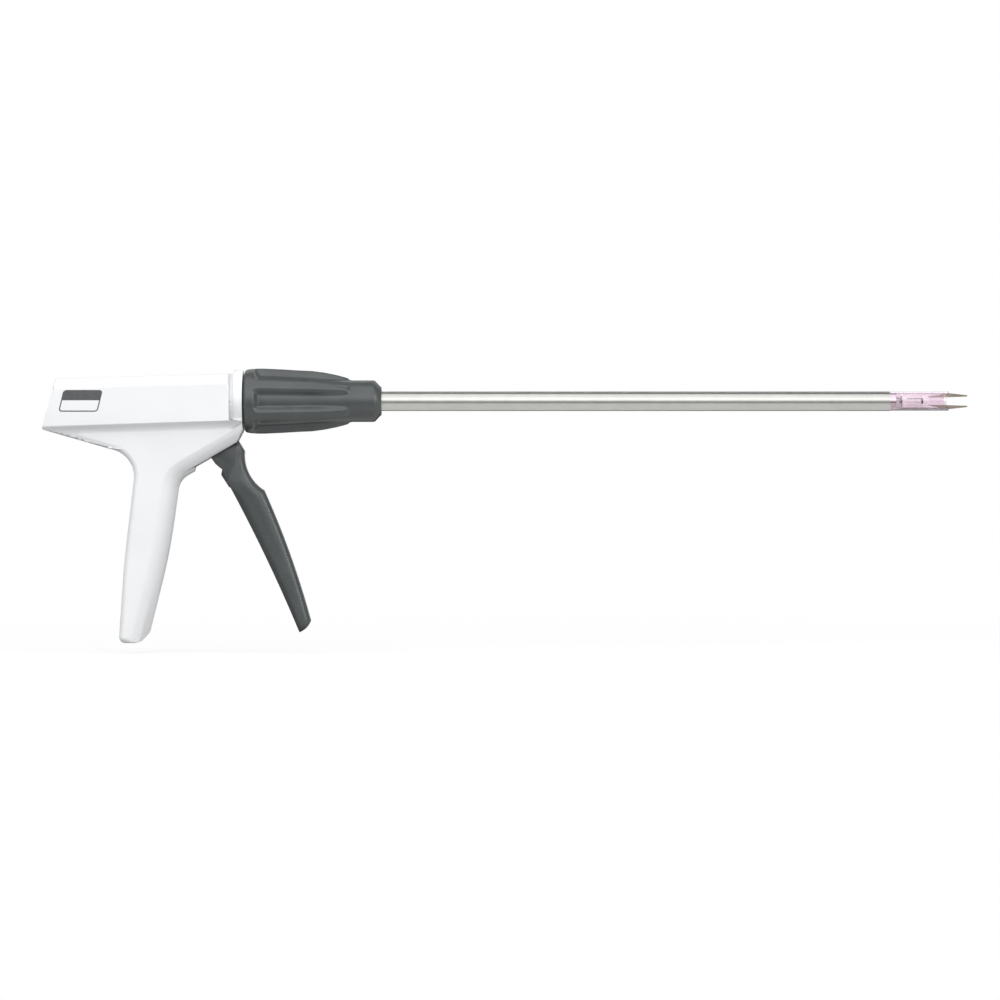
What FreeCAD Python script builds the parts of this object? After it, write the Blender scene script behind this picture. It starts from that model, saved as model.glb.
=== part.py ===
import FreeCAD, Part
import math
import os
import re
import Sketcher

# A hand-held applier of surgical clips, 471 mm long overall.
# The long axis is X: the handle is at -X, the jaws point to +X and Z is up.
# The origin is on the shaft axis, on the front face of the rotation knob.
# All sizes are millimetres and degrees.

SIZES = {
    # Outer tube, clear shroud and jaw reach
    "shaft_length": 259.1, "tube_radius": 5.0, "tube_wall": 0.5,
    "tail_length": 30.0, "tail_radius": 4.8, "bond_gap": 0.02,
    "shroud_length": 30.3, "shroud_radius": 4.8, "shroud_wall": 0.4,
    "shroud_lip": 0.5, "mouth_round": 7.0, "mouth_depth": 1.9, "jaw_reach": 9.2,
    # Rotation knob
    "knob_length": 69.6, "knob_gap": 0.8, "knob_radius": 16.6, "knob_crown": 59.9,
    "knob_shoulder": 32.4, "shoulder_radius": 15.0, "knob_rear_radius": 14.9,
    "knob_rear_round": 3.4, "land_end": 16.0, "land_end_radius": 11.8,
    "nose_length": 14.0, "nose_radius": 10.6,
    "nose_face_radius": 7.0, "nose_bevel": 3.3, "nose_swell": 0.75, "crown_swell": 0.35,
    "flute_count": 6, "flute_radius": 12.0, "flute_depth": 3.2, "flute_start": 54.0,
    "knob_cavity_radius": 11.3, "knob_cavity_front": 38.0,
    "spigot_radius": 9.6, "spigot_bore": 7.4, "spigot_end": 10.4, "spigot_floor": 33.0,
    "ring_depth": 0.6, "ring_width": 1.1, "ring_radius": 11.4, "running_fit": 0.05,
    # Handle housing
    "housing_wall": 1.8, "barrel_half_width": 15.0, "barrel_top": 14.0,
    "barrel_bottom": 9.9, "barrel_tilt": 1.7, "barrel_round": 6.0, "barrel_length": 93.6,
    "tail_overhang": 7.9, "tail_drop": 14.6, "tail_round": 1.2, "collar_radius": 16.0, "collar_width": 4.5,
    "bush_radius": 12.0, "bush_length": 7.6, "bush_seat": 14.0,
    "step_back": 6.6, "edge_bevel": 0.8, "flare_depth": 12.0, "flare_hollow": 2.0,
    # Side outline of neck and grip: distances back from the collar and down from the axis
    "heel_back": 53.8, "heel_drop": 28.3, "heel_round": 14.0,
    "rear_bend_back": 60.1, "rear_bend_rise": 41.1, "grip_bend_round": 300.0,
    "grip_depth": 123.1, "foot_back": 62.9, "foot_round": 3.2, "sole_front_back": 53.1,
    "toe_back": 47.5, "toe_rise": 5.6, "front_bend_back": 37.4, "front_bend_rise": 46.6,
    "throat_back": 32.3, "throat_drop": 40.2, "throat_round": 9.2,
    "slope_back": 5.9, "slope_drop": 24.9, "chin_back": 3.0, "chin_drop": 20.9,
    "chin_nose_back": 0.8, "chin_nose_drop": 16.2, "chin_top": 10.0,
    "neck_half_width": 11.4, "grip_front_round": 8.6, "grip_rear_round": 3.0,
    # Inside of the housing
    "post_radius": 2.6, "peg_radius": 1.2, "peg_length": 3.0, "peg_fit": 0.05,
    "post_margin": 5.6, "post_drop": 3.0, "post_middle_back": 50.0, "post_middle_rise": 6.0,
    "post_grip_back": 48.0, "post_grip_drop": 60.0, "post_foot_back": 54.0,
    "post_foot_rise": 16.1, "rib_thickness": 1.2, "rib_drop": 48.0, "rib_pitch": 22.0,
    "rib_count": 3, "slot_half_width": 6.5, "slot_length": 24.7, "slot_top_drop": 17.4,
    "slot_level": 6.0, "slot_rear_drop": 24.0,
    # Trigger and its pivot
    "pivot_back": 17.6, "pivot_drop": 17.0, "pivot_pin_radius": 1.5, "pivot_pin_half": 10.4,
    "pin_clearance": 0.05, "trigger_swing": 30.0, "trigger_half_width": 6.1,
    "web_half_width": 4.6, "boss_radius": 4.6, "boss_proud": 0.5, "trigger_round": 4.0,
    # Outline of the lever and its web: distances ahead of the pivot and below it
    "ridge_ahead": 14.8, "ridge_below": 3.0, "brow_ahead": 18.4, "brow_below": 8.6,
    "brow_hollow": 3.2, "shelf_ahead": 28.3, "shelf_below": 28.5, "lever_belly": 1.4,
    "lever_tip_ahead": 52.0, "lever_tip_below": 94.6, "lever_foot_round": 1.0,
    "lever_heel_ahead": 46.4, "lever_heel_below": 100.7, "lever_back_hollow": 1.1,
    "lever_back_ahead": 9.7, "lever_back_below": 24.1, "lever_neck_ahead": 13.7, "lever_neck_below": 12.9,
    "web_rear_ahead": -4.0,
    "web_rear_below": 1.0, "web_heel_ahead": 1.5, "web_heel_below": 12.1,
    "web_step_ahead": 3.5, "web_step_below": 15.0, "web_notch_ahead": 7.0,
    "web_notch_below": 17.9, "web_tooth_ahead": 6.5, "web_tooth_below": 20.6,
    "web_foot_ahead": 10.6, "web_foot_below": 27.0, "web_front_ahead": 16.0,
    "web_front_below": 12.0, "web_brow_ahead": 15.0, "web_brow_below": 3.8,
    "web_top_ahead": 11.0, "web_top_below": 0.8, "web_crown_ahead": 4.0, "web_crown_below": -2.5,
    "fork_inner": 7.1, "fork_outer": 8.6, "fork_pin_radius": 1.8, "fork_arm_width": 5.0,
    "fork_lean": 15.0, "fork_pin_inner": 4.9,
    # Ratchet and pawl
    "ratchet_radius": 12.5, "ratchet_tooth": 0.8, "ratchet_pitch": 4.0,
    "ratchet_teeth": 9, "ratchet_thickness": 1.5, "ratchet_start": 176.0,
    "pawl_gap": 0.2, "pawl_back": 35.6, "pawl_drop": 12.0, "pawl_pin_radius": 1.0,
    "pawl_boss_radius": 2.4, "pawl_thickness": 2.0, "pawl_pin_half": 8.0, "pawl_side_gap": 0.6,
    "pawl_heel": 0.6, "pawl_nose_rise": 0.5, "pawl_nose_drop": 0.9, "pawl_nose_height": 1.2,
    "pawl_nose_slant": 1.4, "pawl_nose_cut": 0.3,
    "hub_wall": 2.6, "sector_margin": 6.0, "sector_shoulder": 20.0, "sector_foot": 1.6,
    # Drive collar and closing rod
    "collar_flange_radius": 6.8, "collar_groove_radius": 4.6, "groove_clearance": 0.35,
    "flange_width": 1.3, "sleeve_radius": 4.4, "sleeve_wall": 1.0, "sleeve_end": 40.0,
    "coil_gap": 0.1, "rod_offset": 2.7, "rod_thickness": 0.6, "rod_half_height": 1.8,
    "spring_radius": 5.8, "spring_wire": 0.45, "spring_turns": 9,
    # Clips, track and feeder
    "clip_count": 20, "clip_pitch": 8.6, "clip_length": 8.2, "clip_half_height": 2.3,
    "clip_wire": 0.8, "clip_thickness": 0.9, "track_wall": 0.4, "track_clearance": 0.3,
    "track_web_offset": 0.9, "track_lip": 0.95, "track_lead": 19.0, "track_setback": 7.6,
    "first_clip_setback": 8.1, "clip_crown": 2.6, "clip_crown_flat": 0.5, "clip_crown_gap": 0.15,
    "clip_crown_wall": 1.0, "clip_shoulder": 0.3,
    "feed_bar_offset": 1.35, "feed_bar_thickness": 0.5, "feed_bar_half_height": 1.6,
    "feed_bar_setback": 6.5, "pusher_half_height": 0.5, "pusher_length": 0.6,
    "pusher_reach": 0.65, "feed_bar_rear": 60.0, "slider_length": 6.0, "slider_radius": 3.3,
    "shoe_length": 9.0, "shoe_gap": 0.4,
    "feeder_turns": 14, "feeder_wire": 0.2, "feeder_coil_radius": 0.6,
    # Jaws, their carrier and the closing channel
    "carrier_setback": 7.1, "carrier_ahead": 2.9, "carrier_radius": 4.38,
    "window_gap": 0.3, "cheek_length": 2.8, "cheek_inner": 1.55, "cheek_outer": 2.1,
    "cheek_foot": 1.75, "cheek_top": 3.6, "cheek_root": 1.0,
    "jaw_pivot_ahead": 4.9, "jaw_pivot_height": 2.2, "jaw_pin_radius": 0.4, "jaw_pin_gap": 0.03,
    "jaw_knuckle_radius": 0.8, "jaw_half_width": 1.25, "jaw_leaf_inner": 1.95,
    "jaw_leaf_outer": 2.45, "jaw_swell_back": 9.8, "jaw_swell_length": 9.4,
    "jaw_mouth_inner": 2.05, "jaw_mouth_outer": 4.05, "jaw_tip_inner": 2.35,
    "jaw_tip_outer": 3.05, "jaw_tip_bevel": 0.3, "jaw_round": 4.1,
    "groove_half_width": 0.55, "groove_depth": 0.4, "leaf_slot_gap": 2.0,
    "cam_ahead": 6.0, "cam_length": 13.6, "cam_inner_height": 2.75, "cam_inner_width": 2.2,
    "cam_wall": 0.5, "cam_window_length": 8.0, "cam_window_height": 1.4,
    "seal_start": 2.0, "seal_length": 8.0, "seal_squeeze": 0.05,
}

doc = FreeCAD.newDocument("clip_applier")
sheet = doc.addObject("Spreadsheet::Sheet", "Sizes")
for row, (alias, number) in enumerate(SIZES.items(), start=1):
    sheet.set(f"A{row}", alias)
    sheet.set(f"B{row}", str(number))
    sheet.setAlias(f"B{row}", alias)
doc.recompute()

# Places that several pieces share, as formulas of the sheet's sizes.
COLLAR_FACE = "(-knob_length - knob_gap)"
SPIGOT_REAR = "(-knob_length - spigot_end)"
PIVOT_X = f"({COLLAR_FACE} - pivot_back)"
PIVOT_Z = "(-pivot_drop)"
FORK_THROW = "(pivot_drop * sin(fork_lean))"
DRIVE_X = f"({PIVOT_X} - {FORK_THROW})"
GROOVE_HALF = "(fork_pin_radius + groove_clearance)"
PAWL_X = f"({COLLAR_FACE} - pawl_back)"
SHROUD_END = "(shaft_length + shroud_length)"
JAW_TIP = f"({SHROUD_END} + jaw_reach)"
TRACK_END = "(shaft_length - track_setback)"
CARRIER_START = "(shaft_length - carrier_setback)"
CARRIER_END = "(shaft_length + carrier_ahead)"
JAW_PIVOT = "(shaft_length + jaw_pivot_ahead)"
JAW_SWELL = "(shaft_length + shroud_length - jaw_swell_back)"
CAM_START = "(shaft_length + cam_ahead)"
BAR_TIP = "(shaft_length - feed_bar_setback)"
FIRST_CLIP = "(shaft_length - first_clip_setback)"
TRACK_HALF = "(clip_half_height + track_clearance + track_wall)"
BAR_OUTER = "(feed_bar_offset + feed_bar_thickness)"
STACK_REAR = f"({FIRST_CLIP} - clip_count * clip_pitch)"
TRACK_START = f"({STACK_REAR} - track_lead)"
SHOE_REAR = f"({STACK_REAR} - shoe_gap - shoe_length)"


def bound(text):
    """A formula with each size's name replaced by a reference to its cell."""
    return re.sub(r"[a-z]+(?:_[a-z]+)+", lambda found: "Sizes." + found.group(0), text)


def value(text):
    """The present value of a formula."""
    return float(sheet.evalExpression(bound(text)))


def vector(x, y, z):
    return FreeCAD.Vector(value(x), value(y), value(z))


def new_body(label):
    body = doc.addObject("PartDesign::Body", label)
    body.Label = label
    return body


def origin_plane(body, role):
    return next(item for item in body.Origin.OriginFeatures if item.Role == role)


def arc_side(start, end, sagitta):
    """The arc from start to end that bulges to the left of its direction by sagitta."""
    chord = end - start
    left = FreeCAD.Vector(-chord.y, chord.x, 0).normalize()
    return Part.Arc(start, (start + end) * 0.5 + left * sagitta, end)


def outline(body, name, role, corners, offset="0"):
    """A closed sketch on a plane of the body.

    Each corner is two formulas, and a third, where given, is how far the side that
    starts there bulges to the left.
    """
    sketch = body.newObject("Sketcher::SketchObject", name)
    sketch.AttachmentSupport = (origin_plane(body, role), [""])
    sketch.MapMode = "FlatFace"
    sketch.setExpression("AttachmentOffset.Base.z", bound(offset))
    places = [vector(corner[0], corner[1], "0") for corner in corners]
    heads = []
    for index, corner in enumerate(corners):
        start = places[index]
        end = places[(index + 1) % len(corners)]
        if len(corner) == 3 and abs(value(corner[2])) > 1e-6:
            arc = arc_side(start, end, value(corner[2]))
            sketch.addGeometry(arc, False)
            forward = sketch.Geometry[index].StartPoint.distanceToPoint(start) < 1e-6
        else:
            sketch.addGeometry(Part.LineSegment(start, end), False)
            forward = True
        heads.append(1 if forward else 2)
    for index, corner in enumerate(corners):
        following = (index + 1) % len(corners)
        sketch.addConstraint(
            Sketcher.Constraint("Coincident", index, 3 - heads[index], following, heads[following]))
    for index, corner in enumerate(corners):
        pins = (("DistanceX", corner[0], places[index].x), ("DistanceY", corner[1], places[index].y))
        for kind, text, number in pins:
            pin = sketch.addConstraint(Sketcher.Constraint(kind, -1, 1, index, heads[index], number))
            sketch.setExpression(f"Constraints[{pin}]", bound(text))
        if len(corner) == 3 and abs(value(corner[2])) > 1e-6:
            after = corners[(index + 1) % len(corners)]
            chord = f"(({after[0]}) - ({corner[0]}))^2 + (({after[1]}) - ({corner[1]}))^2"
            radius = f"(({chord}) / (8 * abs({corner[2]})) + abs({corner[2]}) / 2)"
            pin = sketch.addConstraint(Sketcher.Constraint("Radius", index, value(radius)))
            sketch.setExpression(f"Constraints[{pin}]", bound(radius))
    return sketch


def circle(body, name, role, across, up, radius):
    """A sketch of one circle, its centre and radius given by formulas."""
    sketch = body.newObject("Sketcher::SketchObject", name)
    sketch.AttachmentSupport = (origin_plane(body, role), [""])
    sketch.MapMode = "FlatFace"
    centre = vector(across, up, "0")
    sketch.addGeometry(Part.Circle(centre, FreeCAD.Vector(0, 0, 1), value(radius)), False)
    pins = (("DistanceX", across, centre.x), ("DistanceY", up, centre.y))
    for kind, text, number in pins:
        pin = sketch.addConstraint(Sketcher.Constraint(kind, -1, 1, 0, 3, number))
        sketch.setExpression(f"Constraints[{pin}]", bound(text))
    pin = sketch.addConstraint(Sketcher.Constraint("Radius", 0, value(radius)))
    sketch.setExpression(f"Constraints[{pin}]", bound(radius))
    return sketch


def pad(body, sketch, length, both_ways=True, name="Pad"):
    feature = body.newObject("PartDesign::Pad", name)
    feature.Profile = sketch
    feature.setExpression("Length", bound(length))
    feature.SideType = "Symmetric" if both_ways else "One side"
    return feature


def pocket(body, sketch, length, name="Pocket"):
    """A cut to both sides of the sketch's plane."""
    before = body.Tip.Shape.Volume if body.Tip.Shape.Solids else 0.0
    feature = body.newObject("PartDesign::Pocket", name)
    feature.Profile = sketch
    feature.setExpression("Length", bound(length))
    feature.SideType = "Symmetric"
    doc.recompute()
    assert feature.Shape.Volume < before, f"{body.Label}: {name} removes nothing"
    return feature


def turned(label, corners):
    """A piece turned about the shaft axis from its half section (place, radius)."""
    body = new_body(label)
    sketch = outline(body, label + "_section", "XZ_Plane", corners)
    feature = body.newObject("PartDesign::Revolution", label + "_turn")
    feature.Profile = sketch
    feature.ReferenceAxis = (sketch, ["H_Axis"])
    feature.Angle = 360
    doc.recompute()
    return body


def plate(label, corners, thickness, middle="0"):
    """A flat piece seen from the side, of a thickness across Y about its middle."""
    body = new_body(label)
    sketch = outline(body, label + "_side", "XZ_Plane", corners, f"-({middle})")
    pad(body, sketch, thickness, name=label + "_pad")
    doc.recompute()
    return body


def bar(label, corners, start, length):
    """A piece of one section (across, up) that runs along the shaft from start."""
    body = new_body(label)
    sketch = outline(body, label + "_section", "YZ_Plane", corners, start)
    pad(body, sketch, length, both_ways=False, name=label + "_pad")
    doc.recompute()
    return body


def ring(start, length, inner, outer):
    """The half section of a plain ring for turned()."""
    end = f"({start}) + ({length})"
    return [(start, inner), (end, inner), (end, outer), (start, outer)]


def rectangle(left, right, low, high):
    return [(left, low), (right, low), (right, high), (left, high)]


def shaped(label, shape):
    """A piece whose form is worked out from the sheet's sizes."""
    feature = doc.addObject("Part::Feature", label)
    feature.Label = label
    feature.Shape = shape
    return feature


def face_of(points, bulges=None):
    """A flat face with straight sides, or arcs through a given middle point."""
    bulges = bulges or {}
    edges = []
    for index, start in enumerate(points):
        end = points[(index + 1) % len(points)]
        if index in bulges:
            edges.append(Part.Arc(start, bulges[index], end).toShape())
        else:
            edges.append(Part.LineSegment(start, end).toShape())
    return Part.Face(Part.Wire(edges))


def side_face(corners):
    """A face in the XZ plane from (x, z) corners; a third entry is a sagitta to the left."""
    places = [FreeCAD.Vector(corner[0], 0, corner[1]) for corner in corners]
    bulges = {}
    for index, corner in enumerate(corners):
        if len(corner) == 3:
            start = places[index]
            end = places[(index + 1) % len(corners)]
            chord = end - start
            left = FreeCAD.Vector(-chord.z, 0, chord.x).normalize()
            bulges[index] = (start + end) * 0.5 + left * corner[2]
    return face_of(places, bulges)


def side_slab(corners, half_width):
    """A side profile given thickness to both sides of the middle plane."""
    slab = side_face(corners).extrude(FreeCAD.Vector(0, 2 * half_width, 0))
    slab.translate(FreeCAD.Vector(0, -half_width, 0))
    return slab


def round_bar(radius, start, end):
    return Part.makeCylinder(radius, (end - start).Length, start, end - start)


# Handle housing: one outer form, used full size and again inset by the wall.

def rounded_edges(corners, closed):
    """The sides between (x, z, radius) corners in the XZ plane, each corner an arc."""
    places = [FreeCAD.Vector(x, 0, z) for x, z, radius in corners]
    last = len(places) - 1
    turns = []
    for index, here in enumerate(places):
        radius = corners[index][2]
        if radius == 0 or (not closed and index in (0, last)):
            turns.append([here])
            continue
        back = (places[index - 1] - here).normalize()
        ahead = (places[(index + 1) % len(places)] - here).normalize()
        half_angle = back.getAngle(ahead) / 2
        reach = radius / math.tan(half_angle)
        middle = here + (back + ahead).normalize() * (radius / math.sin(half_angle) - radius)
        turns.append([here + back * reach, middle, here + ahead * reach])
    edges = []
    for index, turn in enumerate(turns):
        if len(turn) == 3:
            edges.append(Part.Arc(*turn).toShape())
        if closed or index < last:
            following = turns[(index + 1) % len(turns)]
            edges.append(Part.LineSegment(turn[-1], following[0]).toShape())
    return edges


def moved_in(corners, inset):
    """The corners of an anticlockwise outline after every side moves in by the inset."""
    moved = []
    for index, (x, z, radius) in enumerate(corners):
        before = corners[index - 1]
        after = corners[(index + 1) % len(corners)]
        arriving = FreeCAD.Vector(x - before[0], 0, z - before[1]).normalize()
        leaving = FreeCAD.Vector(after[0] - x, 0, after[1] - z).normalize()
        first = FreeCAD.Vector(-arriving.z, 0, arriving.x)
        second = FreeCAD.Vector(-leaving.z, 0, leaving.x)
        shift = (first + second) * (inset / (1 + first.dot(second)))
        convex = first.dot(leaving) > 0
        if radius > 0:
            radius = max(radius - inset, 0.0) if convex else radius + inset
        moved.append((x + shift.x, z + shift.z, radius))
    return moved


def neck_corners():
    """The underside, grip and chin of the side outline, from the tail round to the collar."""
    face_x = value(COLLAR_FACE)
    tail = face_x - value("barrel_length") - value("tail_overhang")
    foot = -value("grip_depth")
    return [
        (tail, -value("tail_drop"), value("tail_round")),
        (face_x - value("heel_back"), -value("heel_drop"), value("heel_round")),
        (face_x - value("rear_bend_back"), foot + value("rear_bend_rise"), value("grip_bend_round")),
        (face_x - value("foot_back"), foot, value("foot_round")),
        (face_x - value("sole_front_back"), foot, value("foot_round")),
        (face_x - value("toe_back"), foot + value("toe_rise"), value("foot_round")),
        (face_x - value("front_bend_back"), foot + value("front_bend_rise"), value("grip_bend_round")),
        (face_x - value("throat_back"), -value("throat_drop"), value("throat_round")),
        (face_x - value("slope_back"), -value("slope_drop"), 0),
        (face_x - value("chin_back"), -value("chin_drop"), 0),
        (face_x - value("chin_nose_back"), -value("chin_nose_drop"), 0),
        (face_x, -value("chin_nose_drop") + 2 * value("chin_nose_back"), 0),
        (face_x, -value("chin_top"), 0),
        (face_x - value("step_back"), -value("chin_top"), 0),
    ]


def barrel_section(inset):
    """Half of the cross-section from the barrel's top down the flare to the neck's width."""
    top = value("barrel_top") - inset
    half = value("barrel_half_width") - inset
    edge = -value("barrel_bottom") + inset
    bevel = value("edge_bevel")
    low = edge - bevel
    waist = value("neck_half_width") - inset
    end = low - value("flare_depth")
    corner = max(value("barrel_round") - inset, 1.0)
    quarter = corner * math.sqrt(0.5)
    chord = math.hypot(half - bevel - waist, low - end)
    hollow = value("flare_hollow") / chord
    flare_middle = (
        (half - bevel + waist) / 2 - hollow * (low - end),
        (low + end) / 2 + hollow * (half - bevel - waist),
    )
    side = [
        (0, top), (half - corner, top), (half, top - corner), (half, edge),
        (half - bevel, low), (waist, end), (0, end),
    ]
    bulges = {1: (half - corner + quarter, top - corner + quarter), 4: flare_middle}
    return side, bulges


def section_prism(side, bulges, front, length):
    """A symmetric cross-section, given for one side, run rearward along the barrel."""
    points = [FreeCAD.Vector(front, across, up) for across, up in side]
    points += [FreeCAD.Vector(front, -across, up) for across, up in reversed(side[1:-1])]
    last = len(points)
    middles = {}
    for index, (across, up) in bulges.items():
        middles[index] = FreeCAD.Vector(front, across, up)
        middles[last - 1 - index] = FreeCAD.Vector(front, -across, up)
    slope = math.tan(math.radians(value("barrel_tilt")))
    return face_of(points, middles).extrude(FreeCAD.Vector(-length, 0, -length * slope))


def across_slab(corners, half_width):
    """A rounded side outline given thickness to both sides of the middle plane."""
    face = Part.Face(Part.Wire(rounded_edges(corners, closed=True)))
    slab = face.extrude(FreeCAD.Vector(0, 2 * half_width, 0))
    slab.translate(FreeCAD.Vector(0, -half_width, 0))
    return slab


def upper_form(inset):
    """Barrel and flare: the side outline cut to the long cross-section."""
    face_x = value(COLLAR_FACE)
    length = value("barrel_length") + value("tail_overhang")
    lean = value("tail_overhang") / (value("barrel_top") + value("tail_drop"))
    sky = 2 * value("barrel_top")
    rear_x = face_x - length + lean * (sky + value("tail_drop"))
    corners = neck_corners() + [(face_x - value("step_back"), sky, 0), (rear_x, sky, 0)]
    side, bulges = barrel_section(inset)
    prism = section_prism(side, bulges, face_x, length + value("tail_overhang"))
    return across_slab(moved_in(corners, inset), 2 * value("barrel_half_width")).common(prism)


def lower_form(inset):
    """Neck and grip, one width from the flare down, with their rear edges rounded."""
    face_x = value(COLLAR_FACE)
    half = value("neck_half_width") - inset
    ceiling = -value("chin_top") / 2
    tail = neck_corners()[0][0]
    corners = neck_corners() + [(face_x - value("step_back"), ceiling, 0), (tail, ceiling, 0)]
    slab = across_slab(moved_in(corners, inset), half)
    behind = face_x - value("sole_front_back")
    rear_edges = []
    for edge in slab.Edges:
        middle = edge.CenterOfMass
        on_a_side = abs(abs(middle.y) - half) < 0.01
        under = min(vertex.Z for vertex in edge.Vertexes) < ceiling - inset - 0.01
        if on_a_side and under and max(vertex.X for vertex in edge.Vertexes) < behind:
            rear_edges.append(edge)
    return slab.makeFillet(max(value("grip_rear_round") - inset, 0.4), rear_edges)


def front_round(inset):
    """A rounded wedge along the slope, the throat and the grip that rounds their front."""
    half = value("neck_half_width") - inset
    deep = value("grip_front_round")
    far = value("barrel_length") + value("tail_overhang")
    toe, bend, throat, slope = moved_in(neck_corners(), inset)[5:9]
    below = stretched(bend, toe, 3 * deep)
    above = stretched(throat, slope, 4 * deep)
    path = Part.Wire(rounded_edges([below, bend, throat, above], closed=False))
    start = FreeCAD.Vector(below[0], 0, below[1])
    along = path.Edges[0].tangentAt(path.Edges[0].FirstParameter)
    back = FreeCAD.Vector(-along.z, 0, along.x)

    def point(behind, across):
        return start + back * behind + FreeCAD.Vector(0, across, 0)

    wedge = face_of([
        point(deep, -half), point(deep, half), point(1.5 * deep, 2 * half),
        point(far, 2 * half), point(far, -2 * half), point(1.5 * deep, -2 * half),
    ], {0: start})
    return path.makePipeShell([wedge.OuterWire], True, False)


def stretched(start, end, further):
    """The corner that lies further on along the line from start through end."""
    run = FreeCAD.Vector(end[0] - start[0], 0, end[1] - start[1]).normalize()
    return (end[0] + run.x * further, end[1] + run.z * further, 0)


def housing_form(inset):
    form = upper_form(inset).fuse(lower_form(inset)).common(front_round(inset))
    return form.removeSplitter()


def housing_shell():
    """Both halves in one: walls, the collar at the front and the trigger's slot."""
    face_x = value(COLLAR_FACE)
    wall = value("housing_wall")
    collar_back = face_x - value("collar_width")
    seat_back = face_x - value("bush_length")
    shell = housing_form(0).cut(housing_form(wall))
    collar = round_bar(
        value("collar_radius"), FreeCAD.Vector(collar_back, 0, 0), FreeCAD.Vector(face_x, 0, 0))
    seat = round_bar(
        value("bush_seat"), FreeCAD.Vector(seat_back, 0, 0), FreeCAD.Vector(face_x, 0, 0))
    bore = round_bar(
        value("bush_radius"), FreeCAD.Vector(seat_back - 2 * wall, 0, 0),
        FreeCAD.Vector(face_x + wall, 0, 0))
    shell = shell.fuse([collar, seat]).cut(bore)
    slot_back = face_x - value("slot_length")
    ahead = face_x + wall
    ground = -value("grip_depth")
    slot = side_slab([
        (slot_back, ground), (ahead, ground), (ahead, -value("slot_top_drop")),
        (face_x - value("slot_level"), -value("slot_top_drop")), (slot_back, -value("slot_rear_drop")),
    ], value("slot_half_width"))
    return shell.cut(slot)


def wall_post(place_x, place_z, radius, inner, outer):
    """A round post across the housing from one distance off the middle plane to another."""
    return round_bar(
        radius, FreeCAD.Vector(place_x, inner, place_z), FreeCAD.Vector(place_x, outer, place_z))


def half_space(side):
    """A block that holds everything on one side of the middle plane."""
    face_x = value(COLLAR_FACE)
    length = 2 * (value("barrel_length") + value("tail_overhang"))
    height = 2 * (value("grip_depth") + value("collar_radius"))
    depth = 2 * value("collar_radius")
    corner = FreeCAD.Vector(face_x - 0.75 * length, min(0, side * depth), -0.75 * height)
    return Part.makeBox(length, depth, height, corner)


def post_places():
    """Where the four pegged posts stand, as (x, z)."""
    face_x = value(COLLAR_FACE)
    return [
        (face_x - value("barrel_length") + value("post_margin"), -value("post_drop")),
        (face_x - value("post_middle_back"), value("post_middle_rise")),
        (face_x - value("post_grip_back"), -value("post_grip_drop")),
        (face_x - value("post_foot_back"), -value("grip_depth") + value("post_foot_rise")),
    ]


def housing_halves():
    """The two moulded halves, parted at the middle plane and located by pegs."""
    shell = housing_shell()
    form = housing_form(value("housing_wall") / 2)
    reach = 2 * value("collar_radius")
    pivot = (value(PIVOT_X), value(PIVOT_Z))
    pawl = (value(PAWL_X), -value("pawl_drop"))
    peg_length = value("peg_length")
    for side, label in ((-1, "right_handle_half"), (1, "left_handle_half")):
        inside = form.common(half_space(side))
        added = []
        for place in post_places():
            added.append(wall_post(*place, value("post_radius"), 0, side * reach).common(inside))
        for index in range(round(value("rib_count"))):
            level = -value("rib_drop") - index * value("rib_pitch")
            corner = FreeCAD.Vector(-2 * value("barrel_length"), -reach, level)
            rib = Part.makeBox(
                2 * value("barrel_length") + value(PIVOT_X), 2 * reach, value("rib_thickness"), corner)
            added.append(rib.common(inside))
        pawl_inner = side * (value("pawl_thickness") / 2 + value("pawl_side_gap"))
        added.append(
            wall_post(*pawl, value("pawl_boss_radius"), pawl_inner, side * reach).common(inside))
        holes = [
            wall_post(*pivot, value("pivot_pin_radius"), 0, side * value("pivot_pin_half")),
            wall_post(*pawl, value("pawl_pin_radius"), 0, side * value("pawl_pin_half")),
        ]
        if side > 0:
            socket = value("peg_radius") + value("peg_fit")
            holes += [wall_post(*place, socket, 0, 1.1 * peg_length) for place in post_places()]
        half = shell.common(half_space(side)).fuse(added).cut(holes)
        if side < 0:
            root = -value("housing_wall") / 2
            pegs = [wall_post(*place, value("peg_radius"), root, peg_length) for place in post_places()]
            half = half.fuse(pegs)
        shaped(label, half)


def handle_fittings():
    """The bush that the knob turns in, and the pins of trigger and pawl."""
    turned("knob_bush", ring(
        f"{COLLAR_FACE} - bush_length", "bush_length", "spigot_radius + running_fit", "bush_radius"))
    pins = (
        ("trigger_pivot_pin", PIVOT_X, PIVOT_Z, "pivot_pin_radius", "pivot_pin_half"),
        ("pawl_pin", PAWL_X, "-pawl_drop", "pawl_pin_radius", "pawl_pin_half"),
    )
    for label, place_x, place_z, radius, half in pins:
        pin = doc.addObject("Part::Cylinder", label)
        pin.Label = label
        pin.Placement = FreeCAD.Placement(
            FreeCAD.Vector(), FreeCAD.Rotation(FreeCAD.Vector(1, 0, 0), -90))
        pin.setExpression("Radius", bound(radius))
        pin.setExpression("Height", bound(f"2 * {half}"))
        pin.setExpression("Placement.Base.x", bound(place_x))
        pin.setExpression("Placement.Base.y", bound(f"-{half}"))
        pin.setExpression("Placement.Base.z", bound(place_z))


WEB_OUTLINE = (
    "web_rear", "web_heel", "web_step", "web_notch", "web_tooth", "web_foot",
    "web_front", "web_brow", "web_top", "web_crown",
)


def beside_pivot(name):
    """The place of a named outline point, ahead of the pivot's axis and below it."""
    return (value(f"{name}_ahead"), -value(f"{name}_below"))


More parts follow.
